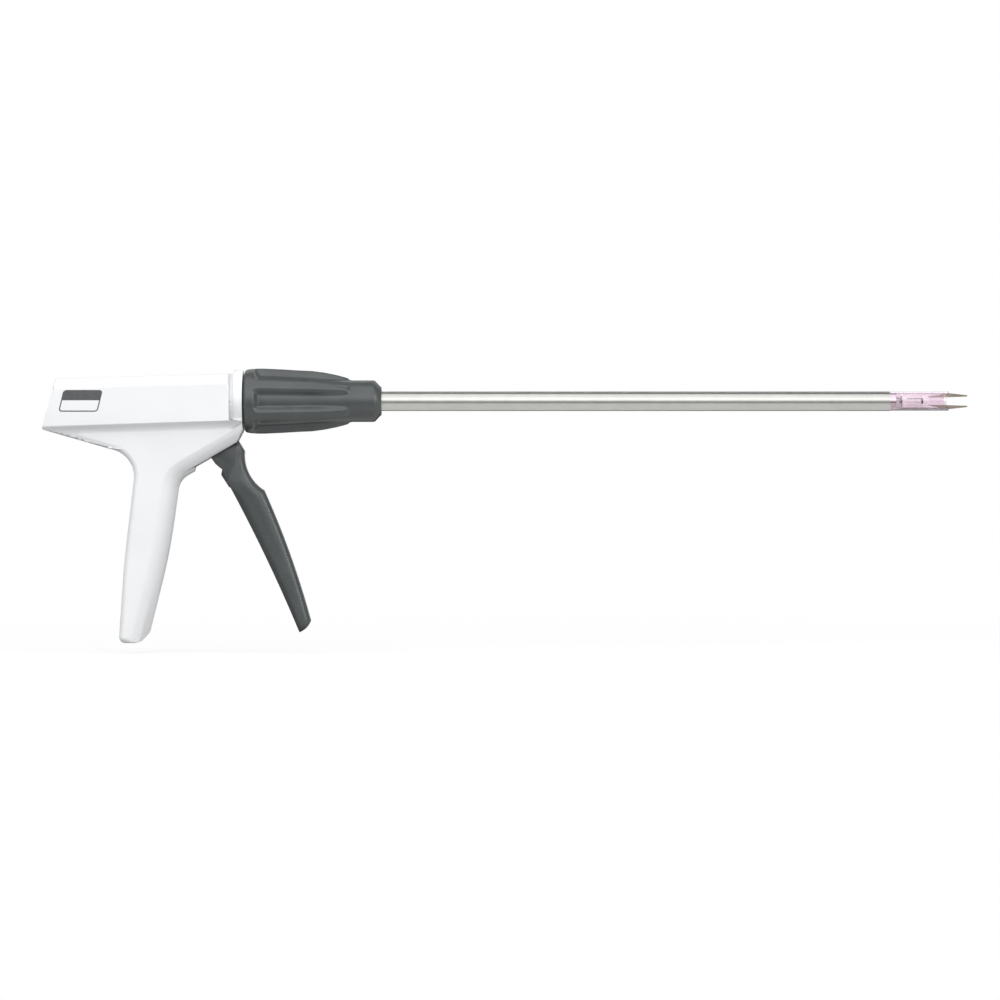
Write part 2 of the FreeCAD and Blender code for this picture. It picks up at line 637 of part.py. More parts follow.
def rounded_lever(half):
    """The finger lever from the ridge under the housing down to its tip, its front rounded."""
    lever = side_slab([
        beside_pivot("ridge"),
        (*beside_pivot("brow"), -value("brow_hollow")),
        (*beside_pivot("shelf"), value("lever_belly")),
        (*beside_pivot("lever_tip"), value("lever_foot_round")),
        (*beside_pivot("lever_heel"), -value("lever_back_hollow")),
        beside_pivot("lever_back"),
        beside_pivot("lever_neck"),
    ], half)
    back_x = beside_pivot("brow")[0] - value("lever_belly")
    finger_edges = []
    for edge in lever.Edges:
        on_a_side = abs(abs(edge.CenterOfMass.y) - half) < 0.01
        forward = min(vertex.X for vertex in edge.Vertexes) > back_x
        if on_a_side and forward and edge.Length > value("brow_ahead") / 2:
            finger_edges.append(edge)
    return lever.makeFillet(value("trigger_round"), finger_edges)


def fork_arm(side, tip):
    """One arm of the fork from the pivot's axis to its tip, with its inward drive pin."""
    half = value("fork_arm_width") / 2
    across = FreeCAD.Vector(tip.z, 0, -tip.x).normalize() * half
    inner = FreeCAD.Vector(0, side * value("fork_inner"), 0)
    outer = FreeCAD.Vector(0, side * value("fork_outer"), 0)
    corners = [-across, across, tip + across, tip - across]
    blade = Part.Face(Part.makePolygon(corners + corners[:1]))
    blade.translate(inner)
    drive_pin = round_bar(
        value("fork_pin_radius"), tip + FreeCAD.Vector(0, side * value("fork_pin_inner"), 0), tip + outer)
    return [
        blade.extrude(outer - inner), round_bar(half, inner, outer),
        round_bar(half, tip + inner, tip + outer), drive_pin,
    ]


def trigger():
    """Lever, narrower web, pivot boss and the two fork arms, drawn about the pivot's axis."""
    web = side_slab([beside_pivot(name) for name in WEB_OUTLINE], value("web_half_width"))
    sideways = FreeCAD.Vector(0, value("fork_inner") + value("boss_proud"), 0)
    boss = round_bar(value("boss_radius"), -sideways, sideways)
    lean = math.radians(value("fork_lean"))
    tip = FreeCAD.Vector(-math.sin(lean), 0, math.cos(lean)) * value("pivot_drop")
    parts = [web, boss] + fork_arm(-1, tip) + fork_arm(1, tip)
    body = rounded_lever(value("trigger_half_width")).fuse(parts)
    bore = round_bar(
        value("pivot_pin_radius") + value("pin_clearance"), -2 * sideways, 2 * sideways)
    half_slot = FreeCAD.Vector(0, value("ratchet_thickness") / 2, 0)
    slot = round_bar(value("ratchet_radius") + 2 * value("ratchet_tooth"), -half_slot, half_slot)
    piece = shaped("trigger", body.cut([bore, slot]).removeSplitter())
    piece.setExpression("Placement.Base.x", bound(PIVOT_X))
    piece.setExpression("Placement.Base.z", bound(PIVOT_Z))


def ratchet_plate():
    """The toothed sector that is fixed in the trigger, round its pivot pin."""
    pivot = vector(PIVOT_X, "0", PIVOT_Z)
    tip = value("ratchet_radius")
    root = tip - value("ratchet_tooth")
    pin = value("pivot_pin_radius")
    foot = pin + value("sector_foot")
    pitch = value("ratchet_pitch")
    first = value("ratchet_start")
    count = round(value("ratchet_teeth"))
    last = first + count * pitch

    def at(radius, angle):
        turn = math.radians(angle)
        return pivot + FreeCAD.Vector(radius * math.cos(turn), 0, radius * math.sin(turn))

    corners = [at(foot, first - value("sector_shoulder")), at(root, first - value("sector_margin"))]
    for tooth in range(count):
        corners.append(at(root, first + tooth * pitch))
        corners.append(at(tip, first + tooth * pitch))
    corners.append(at(root, last))
    corners.append(at(foot, last + value("sector_shoulder")))
    half = FreeCAD.Vector(0, value("ratchet_thickness") / 2, 0)
    sector = Part.Face(Part.makePolygon(corners + corners[:1]))
    sector.translate(-half)
    hub = round_bar(pin + value("hub_wall"), pivot - half, pivot + half)
    bore = round_bar(pin + value("pin_clearance"), pivot - 2 * half, pivot + 2 * half)
    shaped("ratchet_plate", sector.extrude(2 * half).fuse(hub).cut(bore))


def pawl():
    """The pawl that drops on the ratchet's teeth."""
    reach = f"({PIVOT_X} - ratchet_radius - pawl_gap)"
    nose_z = "(-pivot_drop + pawl_nose_rise)"
    body = plate("pawl", [
        (f"{PAWL_X} - pawl_boss_radius", "-pawl_drop"),
        (f"{PAWL_X} - pawl_heel", "-pawl_drop - pawl_boss_radius"),
        (f"{reach} - pawl_nose_slant", f"{nose_z} - pawl_nose_drop"),
        (reach, nose_z),
        (f"{reach} - pawl_nose_cut", f"{nose_z} + pawl_nose_height"),
        (f"{PAWL_X} + pawl_boss_radius", "-pawl_drop"),
        (PAWL_X, "-pawl_drop + pawl_boss_radius"),
    ], "pawl_thickness")
    hole = circle(body, "pawl_bore", "XZ_Plane", PAWL_X, "-pawl_drop", "pawl_pin_radius + pin_clearance")
    pocket(body, hole, "3 * pawl_thickness", name="pawl_bore_cut")


def knob():
    """The fluted rotation knob with its spigot, turned and then scooped six times."""
    body = turned("rotation_knob", [
        (SPIGOT_REAR, "spigot_bore"),
        ("-spigot_floor", "spigot_bore"),
        ("-spigot_floor", "tail_radius + bond_gap"),
        ("0", "tail_radius + bond_gap"),
        ("0", "nose_face_radius"),
        ("-nose_bevel", "nose_radius"),
        ("-nose_length", "nose_radius"),
        ("-land_end", "land_end_radius", "-nose_swell"),
        ("-knob_shoulder", "shoulder_radius", "-crown_swell"),
        ("-knob_crown", "knob_radius"),
        ("-knob_length + knob_rear_round", "knob_radius - 0.15", "-0.5"),
        ("-knob_length", "knob_rear_radius"),
        ("-knob_length", "knob_cavity_radius"),
        ("-knob_cavity_front", "knob_cavity_radius"),
        ("-knob_cavity_front", "spigot_radius"),
        (f"{SPIGOT_REAR} + ring_depth + ring_width", "spigot_radius"),
        (f"{SPIGOT_REAR} + ring_depth + ring_width", "spigot_radius - ring_depth"),
        (f"{SPIGOT_REAR} + ring_depth", "spigot_radius - ring_depth"),
        (f"{SPIGOT_REAR} + ring_depth", "spigot_radius"),
        (SPIGOT_REAR, "spigot_radius"),
    ])
    rise = "(knob_radius - flute_depth + flute_radius)"
    run = "(flute_start - nose_length)"
    drop = "(knob_radius - flute_depth - nose_radius)"
    groove = body.newObject("PartDesign::SubtractiveCylinder", "flute_run")
    groove.setExpression("Radius", bound("flute_radius"))
    groove.setExpression("Height", bound(f"sqrt({run}^2 + {drop}^2)"))
    end = body.newObject("PartDesign::SubtractiveSphere", "flute_end")
    end.setExpression("Radius", bound("flute_radius"))
    for cutter in (groove, end):
        cutter.Placement = FreeCAD.Placement(
            FreeCAD.Vector(), FreeCAD.Rotation(FreeCAD.Vector(0, 1, 0), 90))
        cutter.setExpression("Placement.Base.x", bound("-flute_start"))
        cutter.setExpression("Placement.Base.z", bound(rise))
        cutter.setExpression("Placement.Rotation.Angle", bound(f"90 deg + atan({drop} / {run})"))
    doc.recompute()
    flutes = body.newObject("PartDesign::PolarPattern", "flutes")
    flutes.Originals = [groove, end]
    flutes.Axis = (origin_plane(body, "X_Axis"), [""])
    flutes.Angle = 360
    flutes.Occurrences = round(value("flute_count"))
    body.Tip = flutes
    body.Placement = FreeCAD.Placement(
        FreeCAD.Vector(), FreeCAD.Rotation(FreeCAD.Vector(1, 0, 0), 90))
    doc.recompute()


def shaft_pieces():
    """The outer tube with its tail in the knob, the gas seal and the spigot's ring."""
    bore = "tube_radius - tube_wall"
    turned("shaft_tube", [
        ("-tail_length", bore), ("shaft_length", bore), ("shaft_length", "tube_radius"),
        ("0", "tube_radius"), ("0", "tail_radius"), ("-tail_length", "tail_radius"),
    ])
    ring_start = f"{SPIGOT_REAR} + ring_depth"
    turned("spigot_ring", ring(
        ring_start, "ring_width", "spigot_radius - ring_depth + bond_gap", "ring_radius"))


def shroud_halves():
    """The clear shroud in two halves, its mouth scooped hollow between two lips."""
    inner = "shroud_radius - shroud_wall"
    section = [
        ("shaft_length", inner),
        (f"{SHROUD_END} - shroud_lip", inner),
        (SHROUD_END, f"{inner} + 0.1"),
        (SHROUD_END, "shroud_radius - 0.15"),
        (f"{SHROUD_END} - shroud_lip", "shroud_radius"),
        ("shaft_length", "shroud_radius"),
    ]
    for label, side in (("upper_shroud", 1), ("lower_shroud", -1)):
        body = turned(label, section)
        reach = "(2 * shroud_radius)"
        low, high = (f"-{reach}", "0") if side > 0 else ("0", reach)
        cut = outline(body, label + "_parting", "XZ_Plane", rectangle(
            "shaft_length - 1", f"{SHROUD_END} + 1", low, high))
        pocket(body, cut, f"2 * {reach}", name=label + "_part")
        mouth = circle(
            body, label + "_mouth", "XZ_Plane", f"{SHROUD_END} - mouth_depth + mouth_round", "0",
            "mouth_round")
        pocket(body, mouth, f"2 * {reach}", name=label + "_mouth_cut")


def jaw_carrier():
    """The ring block that joins tube and shroud, with cheeks that hold the jaw pins."""
    length = "(carrier_setback + carrier_ahead)"
    body = turned("jaw_carrier", ring(CARRIER_START, length, "0", "carrier_radius"))
    windows = (
        ("track_window", rectangle(
            f"-{BAR_OUTER} - window_gap", "track_web_offset + track_wall + window_gap",
            f"-{TRACK_HALF} - bond_gap", f"{TRACK_HALF} + bond_gap")),
        ("rod_window", rectangle(
            "rod_offset - window_gap", "rod_offset + rod_thickness + window_gap",
            "-rod_half_height - window_gap", "rod_half_height + window_gap")),
    )
    for name, corners in windows:
        opening = outline(body, name, "YZ_Plane", corners, CARRIER_START)
        pocket(body, opening, f"4 * {length}", name=name + "_cut")
    for side in (-1, 1):
        near, far = ("cheek_inner", "cheek_outer") if side > 0 else ("-cheek_outer", "-cheek_inner")
        for level in (-1, 1):
            low, high = ("cheek_foot", "cheek_top") if level > 0 else ("-cheek_top", "-cheek_foot")
            name = f"cheek_{'right' if side < 0 else 'left'}_{'top' if level > 0 else 'bottom'}"
            cheek = outline(
                body, name, "YZ_Plane", rectangle(near, far, low, high), f"{CARRIER_END} - cheek_root")
            pad(body, cheek, "cheek_length + cheek_root", both_ways=False, name=name + "_pad")
    doc.recompute()
    for name, height in (("top", "jaw_pivot_height"), ("bottom", "-jaw_pivot_height")):
        hole = circle(body, f"pin_hole_{name}", "XZ_Plane", JAW_PIVOT, height, "jaw_pin_radius")
        pocket(body, hole, "4 * cheek_outer", name=f"pin_hole_{name}_cut")


def jaw(label, side):
    """One jaw: a sprung leaf that swells to a grooved nose, hinged at its root."""
    pivot = value(JAW_PIVOT)
    height = value("jaw_pivot_height")
    half = value("jaw_half_width")
    swell = value(JAW_SWELL)
    mouth = value(SHROUD_END)
    tip = value(JAW_TIP)
    bevel = value("jaw_tip_bevel")
    blade = side_slab([
        (pivot, value("jaw_leaf_outer")),
        (swell, value("jaw_leaf_outer")),
        (swell + value("jaw_swell_length"), value("jaw_mouth_outer")),
        (mouth, value("jaw_mouth_outer")),
        (tip - bevel, value("jaw_tip_outer")),
        (tip, value("jaw_tip_outer") - bevel / 2),
        (tip, value("jaw_tip_inner") + bevel / 3),
        (tip - bevel, value("jaw_tip_inner")),
        (mouth, value("jaw_mouth_inner")),
        (swell, value("jaw_leaf_inner")),
        (pivot, value("jaw_leaf_inner")),
    ], half)
    middle = FreeCAD.Vector(pivot, 0, height)
    sideways = FreeCAD.Vector(0, half, 0)
    root = round_bar(value("jaw_knuckle_radius"), middle - sideways, middle + sideways)
    envelope = round_bar(
        value("jaw_round"), FreeCAD.Vector(value(CARRIER_START), 0, 0), FreeCAD.Vector(2 * tip, 0, 0))
    groove_half = value("groove_half_width")
    depth = value("groove_depth")
    slot_start = pivot + value("leaf_slot_gap")
    leaf_slot = Part.makeBox(
        swell - slot_start, 2 * groove_half, 2 * height, FreeCAD.Vector(slot_start, -groove_half, 0))
    groove_start = swell - half / 2
    nose_groove = side_slab([
        (groove_start, 0), (2 * tip, 0), (2 * tip, value("jaw_tip_inner") + depth),
        (tip, value("jaw_tip_inner") + depth), (mouth, value("jaw_mouth_inner") + depth),
        (groove_start, value("jaw_leaf_outer") + bevel),
    ], groove_half)
    bore = round_bar(
        value("jaw_pin_radius") + value("jaw_pin_gap"), middle - 2 * sideways, middle + 2 * sideways)
    shape = blade.fuse(root).common(envelope).cut([leaf_slot, nose_groove, bore])
    if side < 0:
        shape = shape.mirror(FreeCAD.Vector(), FreeCAD.Vector(0, 0, 1))
    shaped(label, shape)


def jaw_pins():
    """The two short pins across the carrier's cheeks."""
    reach = value("cheek_outer")
    pins = []
    for height in (value("jaw_pivot_height"), -value("jaw_pivot_height")):
        start = FreeCAD.Vector(value(JAW_PIVOT), -reach, height)
        end = FreeCAD.Vector(value(JAW_PIVOT), reach, height)
        pins.append(round_bar(value("jaw_pin_radius"), start, end))
    shaped("jaw_pins", Part.makeCompound(pins))


def coil(label, start, length, radius, wire, turns):
    """A spring about the shaft axis: a wire swept along short chords of a helix."""
    steps = 10 * round(turns)
    points = []
    for step in range(steps + 1):
        share = step / steps
        turn = 2 * math.pi * share * round(turns)
        points.append(FreeCAD.Vector(
            start + length * share, radius * math.cos(turn), radius * math.sin(turn)))
    path = Part.makePolygon(points)
    corners = []
    for corner in range(6):
        turn = 2 * math.pi * corner / 6
        corners.append(points[0] + FreeCAD.Vector(
            wire * math.cos(turn), wire * math.sin(turn), 0))
    section = Part.makePolygon(corners + corners[:1])
    shaped(label, path.makePipeShell([section], True, False, 1))


def closing_pieces():
    """Grooved drive collar with its sleeve, the flat rod and the channel over the jaws."""
    front = f"({DRIVE_X} + {GROOVE_HALF} + flange_width)"
    rear = f"({DRIVE_X} - {GROOVE_HALF} - flange_width)"
    bore = "sleeve_radius - sleeve_wall"
    turned("drive_collar", [
        (rear, bore), ("-sleeve_end", bore), ("-sleeve_end", "sleeve_radius"),
        (front, "sleeve_radius"), (front, "collar_flange_radius"),
        (f"{front} - flange_width", "collar_flange_radius"),
        (f"{front} - flange_width", "collar_groove_radius"),
        (f"{rear} + flange_width", "collar_groove_radius"),
        (f"{rear} + flange_width", "collar_flange_radius"),
        (rear, "collar_flange_radius"),
    ])
    bar("closing_rod", rectangle(
        "rod_offset", "rod_offset + rod_thickness", "-rod_half_height", "rod_half_height"),
        "-sleeve_end", f"{CAM_START} + cam_length + sleeve_end")
    channel = bar("closing_channel", rectangle(
        "-cam_inner_width - cam_wall", "cam_inner_width + cam_wall",
        "-cam_inner_height - cam_wall", "cam_inner_height + cam_wall"), CAM_START, "cam_length")
    hollow = outline(channel, "channel_hollow", "YZ_Plane", rectangle(
        "-cam_inner_width", "cam_inner_width", "-cam_inner_height", "cam_inner_height"), CAM_START)
    pocket(channel, hollow, "3 * cam_length", name="channel_hollow_cut")
    window = outline(channel, "channel_window", "XZ_Plane", rectangle(
        f"{CAM_START} + (cam_length - cam_window_length) / 2",
        f"{CAM_START} + (cam_length + cam_window_length) / 2",
        "-cam_window_height", "cam_window_height"), "cam_inner_width + cam_wall")
    pocket(channel, window, "3 * cam_wall", name="channel_window_cut")
    start = value(f"{front} + spring_wire + coil_gap")
    end = value("-spigot_floor - spring_wire - coil_gap")
    coil("return_spring", start, end - start, value("spring_radius"),
         value("spring_wire"), value("spring_turns"))


def feed_pieces():
    """The feed bar with its tongue, and the slider that carries it in the sleeve."""
    bar_body = plate("feed_bar", rectangle(
        "-feed_bar_rear", BAR_TIP, "-feed_bar_half_height", "feed_bar_half_height"),
        "feed_bar_thickness", "-feed_bar_offset - feed_bar_thickness / 2")
    tongue = outline(bar_body, "tongue", "XZ_Plane", rectangle(
        f"{BAR_TIP} - pusher_length", BAR_TIP, "-pusher_half_height", "pusher_half_height"),
        f"({BAR_OUTER} + pusher_reach) / 2")
    pad(bar_body, tongue, f"{BAR_OUTER} - pusher_reach", name="tongue_pad")
    turned("feed_slider", [
        ("-feed_bar_rear - slider_length", "0"), ("-feed_bar_rear", "0"),
        ("-feed_bar_rear", "slider_radius"), ("-feed_bar_rear - slider_length", "slider_radius"),
    ])


def clip_shape():
    """One open clip, crown to the rear and legs forward, its crown at the origin."""
    half = value("clip_half_height")
    wire = value("clip_wire")
    crown = value("clip_crown")
    upper = [
        (0, value("clip_crown_flat")), (crown, half), (value("clip_length"), half),
        (value("clip_length"), half - wire), (crown + value("clip_shoulder"), half - wire),
        (value("clip_crown_wall"), value("clip_crown_gap")),
    ]
    lower = [(along, -up) for along, up in reversed(upper)]
    return side_slab(upper + lower, value("clip_thickness") / 2)


def clip_pieces():
    """The magazine: channel track, the row of clips and the sprung shoe behind them."""
    track = bar("clip_track", [
        ("-track_lip", f"-{TRACK_HALF}"), ("track_web_offset + track_wall", f"-{TRACK_HALF}"),
        ("track_web_offset + track_wall", TRACK_HALF), ("-track_lip", TRACK_HALF),
        ("-track_lip", f"{TRACK_HALF} - track_wall"), ("track_web_offset", f"{TRACK_HALF} - track_wall"),
        ("track_web_offset", f"-{TRACK_HALF} + track_wall"), ("-track_lip", f"-{TRACK_HALF} + track_wall"),
    ], TRACK_START, f"{TRACK_END} - {TRACK_START}")
    one = clip_shape()
    row = []
    for index in range(round(value("clip_count"))):
        copy = one.copy()
        place = value(FIRST_CLIP) - value("clip_length") - index * value("clip_pitch")
        copy.translate(FreeCAD.Vector(place, 0, 0))
        row.append(copy)
    shaped("clips", Part.makeCompound(row))
    plate("feeder_shoe", rectangle(
        SHOE_REAR, f"{STACK_REAR} - shoe_gap",
        "-clip_half_height", "clip_half_height"), "clip_thickness")
    start = value("seal_start + seal_length + feeder_wire + coil_gap")
    end = value(f"{SHOE_REAR} - feeder_wire - coil_gap")
    coil("feeder_spring", start, end - start, value("feeder_coil_radius"),
         value("feeder_wire"), value("feeder_turns"))


def gas_seal():
    """The soft plug that seals the tube round the rod and the feed bar."""
    body = turned("gas_seal", ring("seal_start", "seal_length", "0", "tube_radius - tube_wall"))
    slits = (
        ("rod_slit", rectangle(
            "rod_offset - seal_squeeze", "rod_offset + rod_thickness + seal_squeeze",
            "-rod_half_height - seal_squeeze", "rod_half_height + seal_squeeze")),
        ("bar_slit", rectangle(
            f"-{BAR_OUTER} - seal_squeeze", "-feed_bar_offset + seal_squeeze",
            "-feed_bar_half_height - seal_squeeze", "feed_bar_half_height + seal_squeeze")),
    )
    for name, corners in slits:
        slit = outline(body, name, "YZ_Plane", corners, "seal_start")
        pocket(body, slit, "4 * seal_length", name=name + "_cut")


def write_parts():
    """Check every object and each piece, then write one file for each piece."""
    doc.recompute()
    for item in doc.Objects:
        bad = [state for state in item.State if state in ("Invalid", "Error")]
        if bad:
            raise RuntimeError(f"{item.Label}: {bad}")
    kinds = ("PartDesign::Body", "Part::Feature", "Part::Cylinder")
    pieces = [item for item in doc.Objects if item.TypeId in kinds]
    for piece in pieces:
        if piece.Shape.isNull() or not piece.Shape.isValid():
            raise RuntimeError(f"{piece.Label}: no valid shape")
    os.makedirs("parts", exist_ok=True)
    for piece in pieces:
        piece.Shape.exportStep(os.path.join("parts", piece.Label + ".step"))
    print(len(pieces), "pieces")


housing_halves()
handle_fittings()
trigger()
ratchet_plate()
pawl()
knob()
shaft_pieces()
shroud_halves()
jaw_carrier()
jaw("upper_jaw", 1)
jaw("lower_jaw", -1)
jaw_pins()
closing_pieces()
feed_pieces()
clip_pieces()
gas_seal()
write_parts()
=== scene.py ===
import math

import bmesh
import bpy
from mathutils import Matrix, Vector


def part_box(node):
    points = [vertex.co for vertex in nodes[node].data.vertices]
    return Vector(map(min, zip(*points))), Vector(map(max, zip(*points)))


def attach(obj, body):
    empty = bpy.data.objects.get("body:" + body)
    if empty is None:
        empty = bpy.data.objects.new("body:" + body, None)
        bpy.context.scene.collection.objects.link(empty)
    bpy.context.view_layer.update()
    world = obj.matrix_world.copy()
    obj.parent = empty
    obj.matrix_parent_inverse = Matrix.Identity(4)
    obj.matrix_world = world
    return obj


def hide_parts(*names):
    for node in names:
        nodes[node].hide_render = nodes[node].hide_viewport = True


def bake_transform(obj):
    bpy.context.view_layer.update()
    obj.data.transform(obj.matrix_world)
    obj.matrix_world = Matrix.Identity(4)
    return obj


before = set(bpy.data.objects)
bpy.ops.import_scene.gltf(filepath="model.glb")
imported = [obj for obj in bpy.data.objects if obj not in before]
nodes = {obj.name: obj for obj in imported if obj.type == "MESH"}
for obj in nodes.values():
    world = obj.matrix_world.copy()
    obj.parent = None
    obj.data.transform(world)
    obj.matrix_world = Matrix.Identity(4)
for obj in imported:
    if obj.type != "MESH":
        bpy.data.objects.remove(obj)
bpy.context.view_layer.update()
MM = 0.001

# Handle halves: two injection-moulded shells of white ABS, parted at Y = 0 and pegged
# together. The mould gives a fine even satin grain, a hairline parting line and the
# faint grey that white plastic takes where it turns away from the light.
ABS_WHITE = "#F0F1F2"
ABS_SHADE = "#E9EAEC"
ABS_PARTING = "#B4B6B8"
ABS_ROUGHNESS = 0.40
ABS_GRAIN_MM = 0.35         # spark-eroded mould grain, drawn a little coarse so that it shows
ABS_CLOUD_MM = 30.0
PARTING_LINE_MM = 0.12      # half width of the line where the halves meet
REAR_TOP_MM = (-164.0, 14.0)      # the slanted rear face's ends, seen from the side
REAR_FOOT_MM = (-171.9, -14.6)
HOUSING_WALL_MM = 1.8
NECK_HALF_WIDTH_MM = 11.4
NECK_FLOOR_MM = -12.7       # above it and between the walls lies the neck's hollow
WELD = 0.001 * MM           # corners nearer to each other than this become one


def linear(hex_colour):
    """An sRGB hex colour as linear RGBA."""
    channels = [int(hex_colour[i:i + 2], 16) / 255 for i in (1, 3, 5)]
    curve = [c / 12.92 if c <= 0.04045 else ((c + 0.055) / 1.055) ** 2.4 for c in channels]
    return (*curve, 1.0)


def add(tree, kind, links=None, **settings):
    """A node with its settings; links maps an input to a value or to another socket."""
    node = tree.nodes.new(kind)
    for name, value in settings.items():
        setattr(node, name, value)
    for name, value in (links or {}).items():
        socket = node.inputs[name]
        if isinstance(value, bpy.types.NodeSocket):
            tree.links.new(value, socket)
        else:
            socket.default_value = value
    return node


def new_material(name, **settings):
    """A material with one Principled shader, its sockets set from keyword names."""
    material = bpy.data.materials.new(name)
    material.use_nodes = True
    tree = material.node_tree
    tree.nodes.clear()
    shader = add(tree, "ShaderNodeBsdfPrincipled")
    add(tree, "ShaderNodeOutputMaterial", {"Surface": shader.outputs[0]})
    for socket_name, value in settings.items():
        shader.inputs[socket_name.replace("_", " ")].default_value = value
    return material, tree, shader


def grain(tree, shader, size_mm, depth, roughness, spread):
    """Moulded or blasted grain: a noise of a real size drives roughness and bump."""
    place = add(tree, "ShaderNodeTexCoord").outputs["Object"]
    noise = add(tree, "ShaderNodeTexNoise", {
        "Vector": place, "Scale": 1000 / size_mm, "Detail": 3.0, "Roughness": 0.55})
    rough = add(tree, "ShaderNodeMapRange", {
        "Value": noise.outputs[0], "From Min": 0.3, "From Max": 0.7,
        "To Min": roughness - spread, "To Max": roughness + spread})
    bump = add(tree, "ShaderNodeBump", {
        "Height": noise.outputs[0], "Strength": depth, "Distance": size_mm * MM * 0.4})
    tree.links.new(rough.outputs[0], shader.inputs["Roughness"])
    tree.links.new(bump.outputs[0], shader.inputs["Normal"])
    return place


def tinted(tree, shader, place, base, other, size_mm, amount):
    """A slow change between two near colours over the surface."""
    cloud = add(tree, "ShaderNodeTexNoise", {
        "Vector": place, "Scale": 1000 / size_mm, "Detail": 2.0})
    share = add(tree, "ShaderNodeMapRange", {
        "Value": cloud.outputs[0], "From Min": 0.35, "From Max": 0.65,
        "To Min": 0.0, "To Max": amount})
    mix = add(tree, "ShaderNodeMix", {
        "Factor": share.outputs[0], "A": linear(base), "B": linear(other)}, data_type="RGBA")
    tree.links.new(mix.outputs["Result"], shader.inputs["Base Color"])
    return mix.outputs["Result"]


def dress(node_name, material):
    """Give a carried-over node its material."""
    mesh = nodes[node_name].data
    mesh.materials.clear()
    mesh.materials.append(material)


abs_white, tree, shader = new_material("moulded_white_abs", IOR=1.53)
place = grain(tree, shader, ABS_GRAIN_MM, depth=0.06, roughness=ABS_ROUGHNESS, spread=0.04)
body_colour = tinted(
    tree, shader, place, ABS_WHITE, ABS_SHADE, size_mm=ABS_CLOUD_MM, amount=0.5)
across = add(tree, "ShaderNodeSeparateXYZ", {"Vector": place}).outputs["Y"]
distance = add(tree, "ShaderNodeMath", {0: across}, operation="ABSOLUTE").outputs[0]
near_line = add(tree, "ShaderNodeMapRange", {
    "Value": distance, "From Min": PARTING_LINE_MM * MM / 2, "From Max": PARTING_LINE_MM * MM,
    "To Min": 1.0, "To Max": 0.0})
parted = add(tree, "ShaderNodeMix", {
    "Factor": near_line.outputs[0], "A": body_colour, "B": linear(ABS_PARTING)}, data_type="RGBA")
tree.links.new(parted.outputs["Result"], shader.inputs["Base Color"])


def smooth(piece, angle_degrees):
    """Smooth shading with edges kept where the faces turn by more than the angle."""
    mesh = piece.data
    mesh.shade_smooth()
    mesh.set_sharp_from_angle(angle=math.radians(angle_degrees))


def refined(node_name, reshape, material, body):
    """A welded, smoothly shaded copy that replaces a node; reshape may move its corners."""
    made = bmesh.new()
    made.from_mesh(nodes[node_name].data)
    for layer in list(made.loops.layers.float_vector.values()):
        made.loops.layers.float_vector.remove(layer)
    bmesh.ops.remove_doubles(made, verts=made.verts, dist=WELD)
    for corner in made.verts:
        reshape(corner.co)
    bmesh.ops.dissolve_degenerate(made, dist=WELD, edges=made.edges)
    mesh = bpy.data.meshes.new(node_name + "_moulding")
    made.to_mesh(mesh)
    made.free()
    mesh.materials.clear()
    mesh.materials.append(material)
    piece = bpy.data.objects.new(node_name + "_moulding", mesh)
    bpy.context.scene.collection.objects.link(piece)
    smooth(piece, angle_degrees=52)
    weighted = piece.modifiers.new("even_shading", "WEIGHTED_NORMAL")
    weighted.mode = "FACE_AREA_WITH_ANGLE"
    weighted.weight = 50
    weighted.keep_sharp = True
    evaluated = piece.evaluated_get(bpy.context.evaluated_depsgraph_get())
    piece.data = bpy.data.meshes.new_from_object(evaluated)
    piece.modifiers.remove(weighted)
    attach(piece, body)
    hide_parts(node_name)
    return piece


def flush_rear(corner):
    """Bring the neck's end in line with the slanted rear face, inside and outside."""
    share = (corner.z / MM - REAR_FOOT_MM[1]) / (REAR_TOP_MM[1] - REAR_FOOT_MM[1])
    face = (REAR_FOOT_MM[0] + share * (REAR_TOP_MM[0] - REAR_FOOT_MM[0])) * MM
    wall = HOUSING_WALL_MM * MM
    inside = abs(corner.y) < NECK_HALF_WIDTH_MM * MM - wall / 2 and corner.z > NECK_FLOOR_MM * MM
    if corner.x < face:
        if inside and corner.x > REAR_FOOT_MM[0] * MM + wall / 2:
            corner.x = face + wall
        else:
            corner.x = face


for half in ("right_handle_half", "left_handle_half"):
    refined(half, flush_rear, abs_white, "handle")

# Badge: the slanted panel near the rear of the flat side, a thin dark outline with a
# solid band across its top and a bare field under it, in ink pad-printed on the moulding.
INK_GREY = "#4E5052"
INK_WORN = "#585A5C"
BADGE_CENTRE = (-152.0 * MM, -0.2 * MM)
BADGE_WIDTH = 19.9 * MM
BADGE_HEIGHT = 11.0 * MM
BADGE_SLANT = 2.6 * MM        # how far the top leans ahead of the bottom
BADGE_BAND = 5.2 * MM
BADGE_LINE = 0.6 * MM
BADGE_CORNER = 1.6 * MM
BADGE_ARC_STEPS = 6
INK_PROUD = 0.04 * MM
FLAT_SIDE = -15.0 * MM        # the barrel's flat face towards the viewer


def panel_outline(inset, low, high):
    """A slanted panel with round corners in X and Z, pulled in by inset."""
    half = BADGE_WIDTH / 2 - inset
    radius = BADGE_CORNER - inset
    corners = (
        (half - radius, high - inset - radius, 0.0), (-half + radius, high - inset - radius, 0.5),
        (-half + radius, low + inset + radius, 1.0), (half - radius, low + inset + radius, 1.5),
    )
    points = []
    for across, up, turn in corners:
        for step in range(BADGE_ARC_STEPS + 1):
            angle = math.pi * (turn + 0.5 * step / BADGE_ARC_STEPS)
            x = across + radius * math.cos(angle)
            z = up + radius * math.sin(angle)
            lean = BADGE_SLANT * z / BADGE_HEIGHT
            points.append((BADGE_CENTRE[0] + x + lean, BADGE_CENTRE[1] + z))
    return points


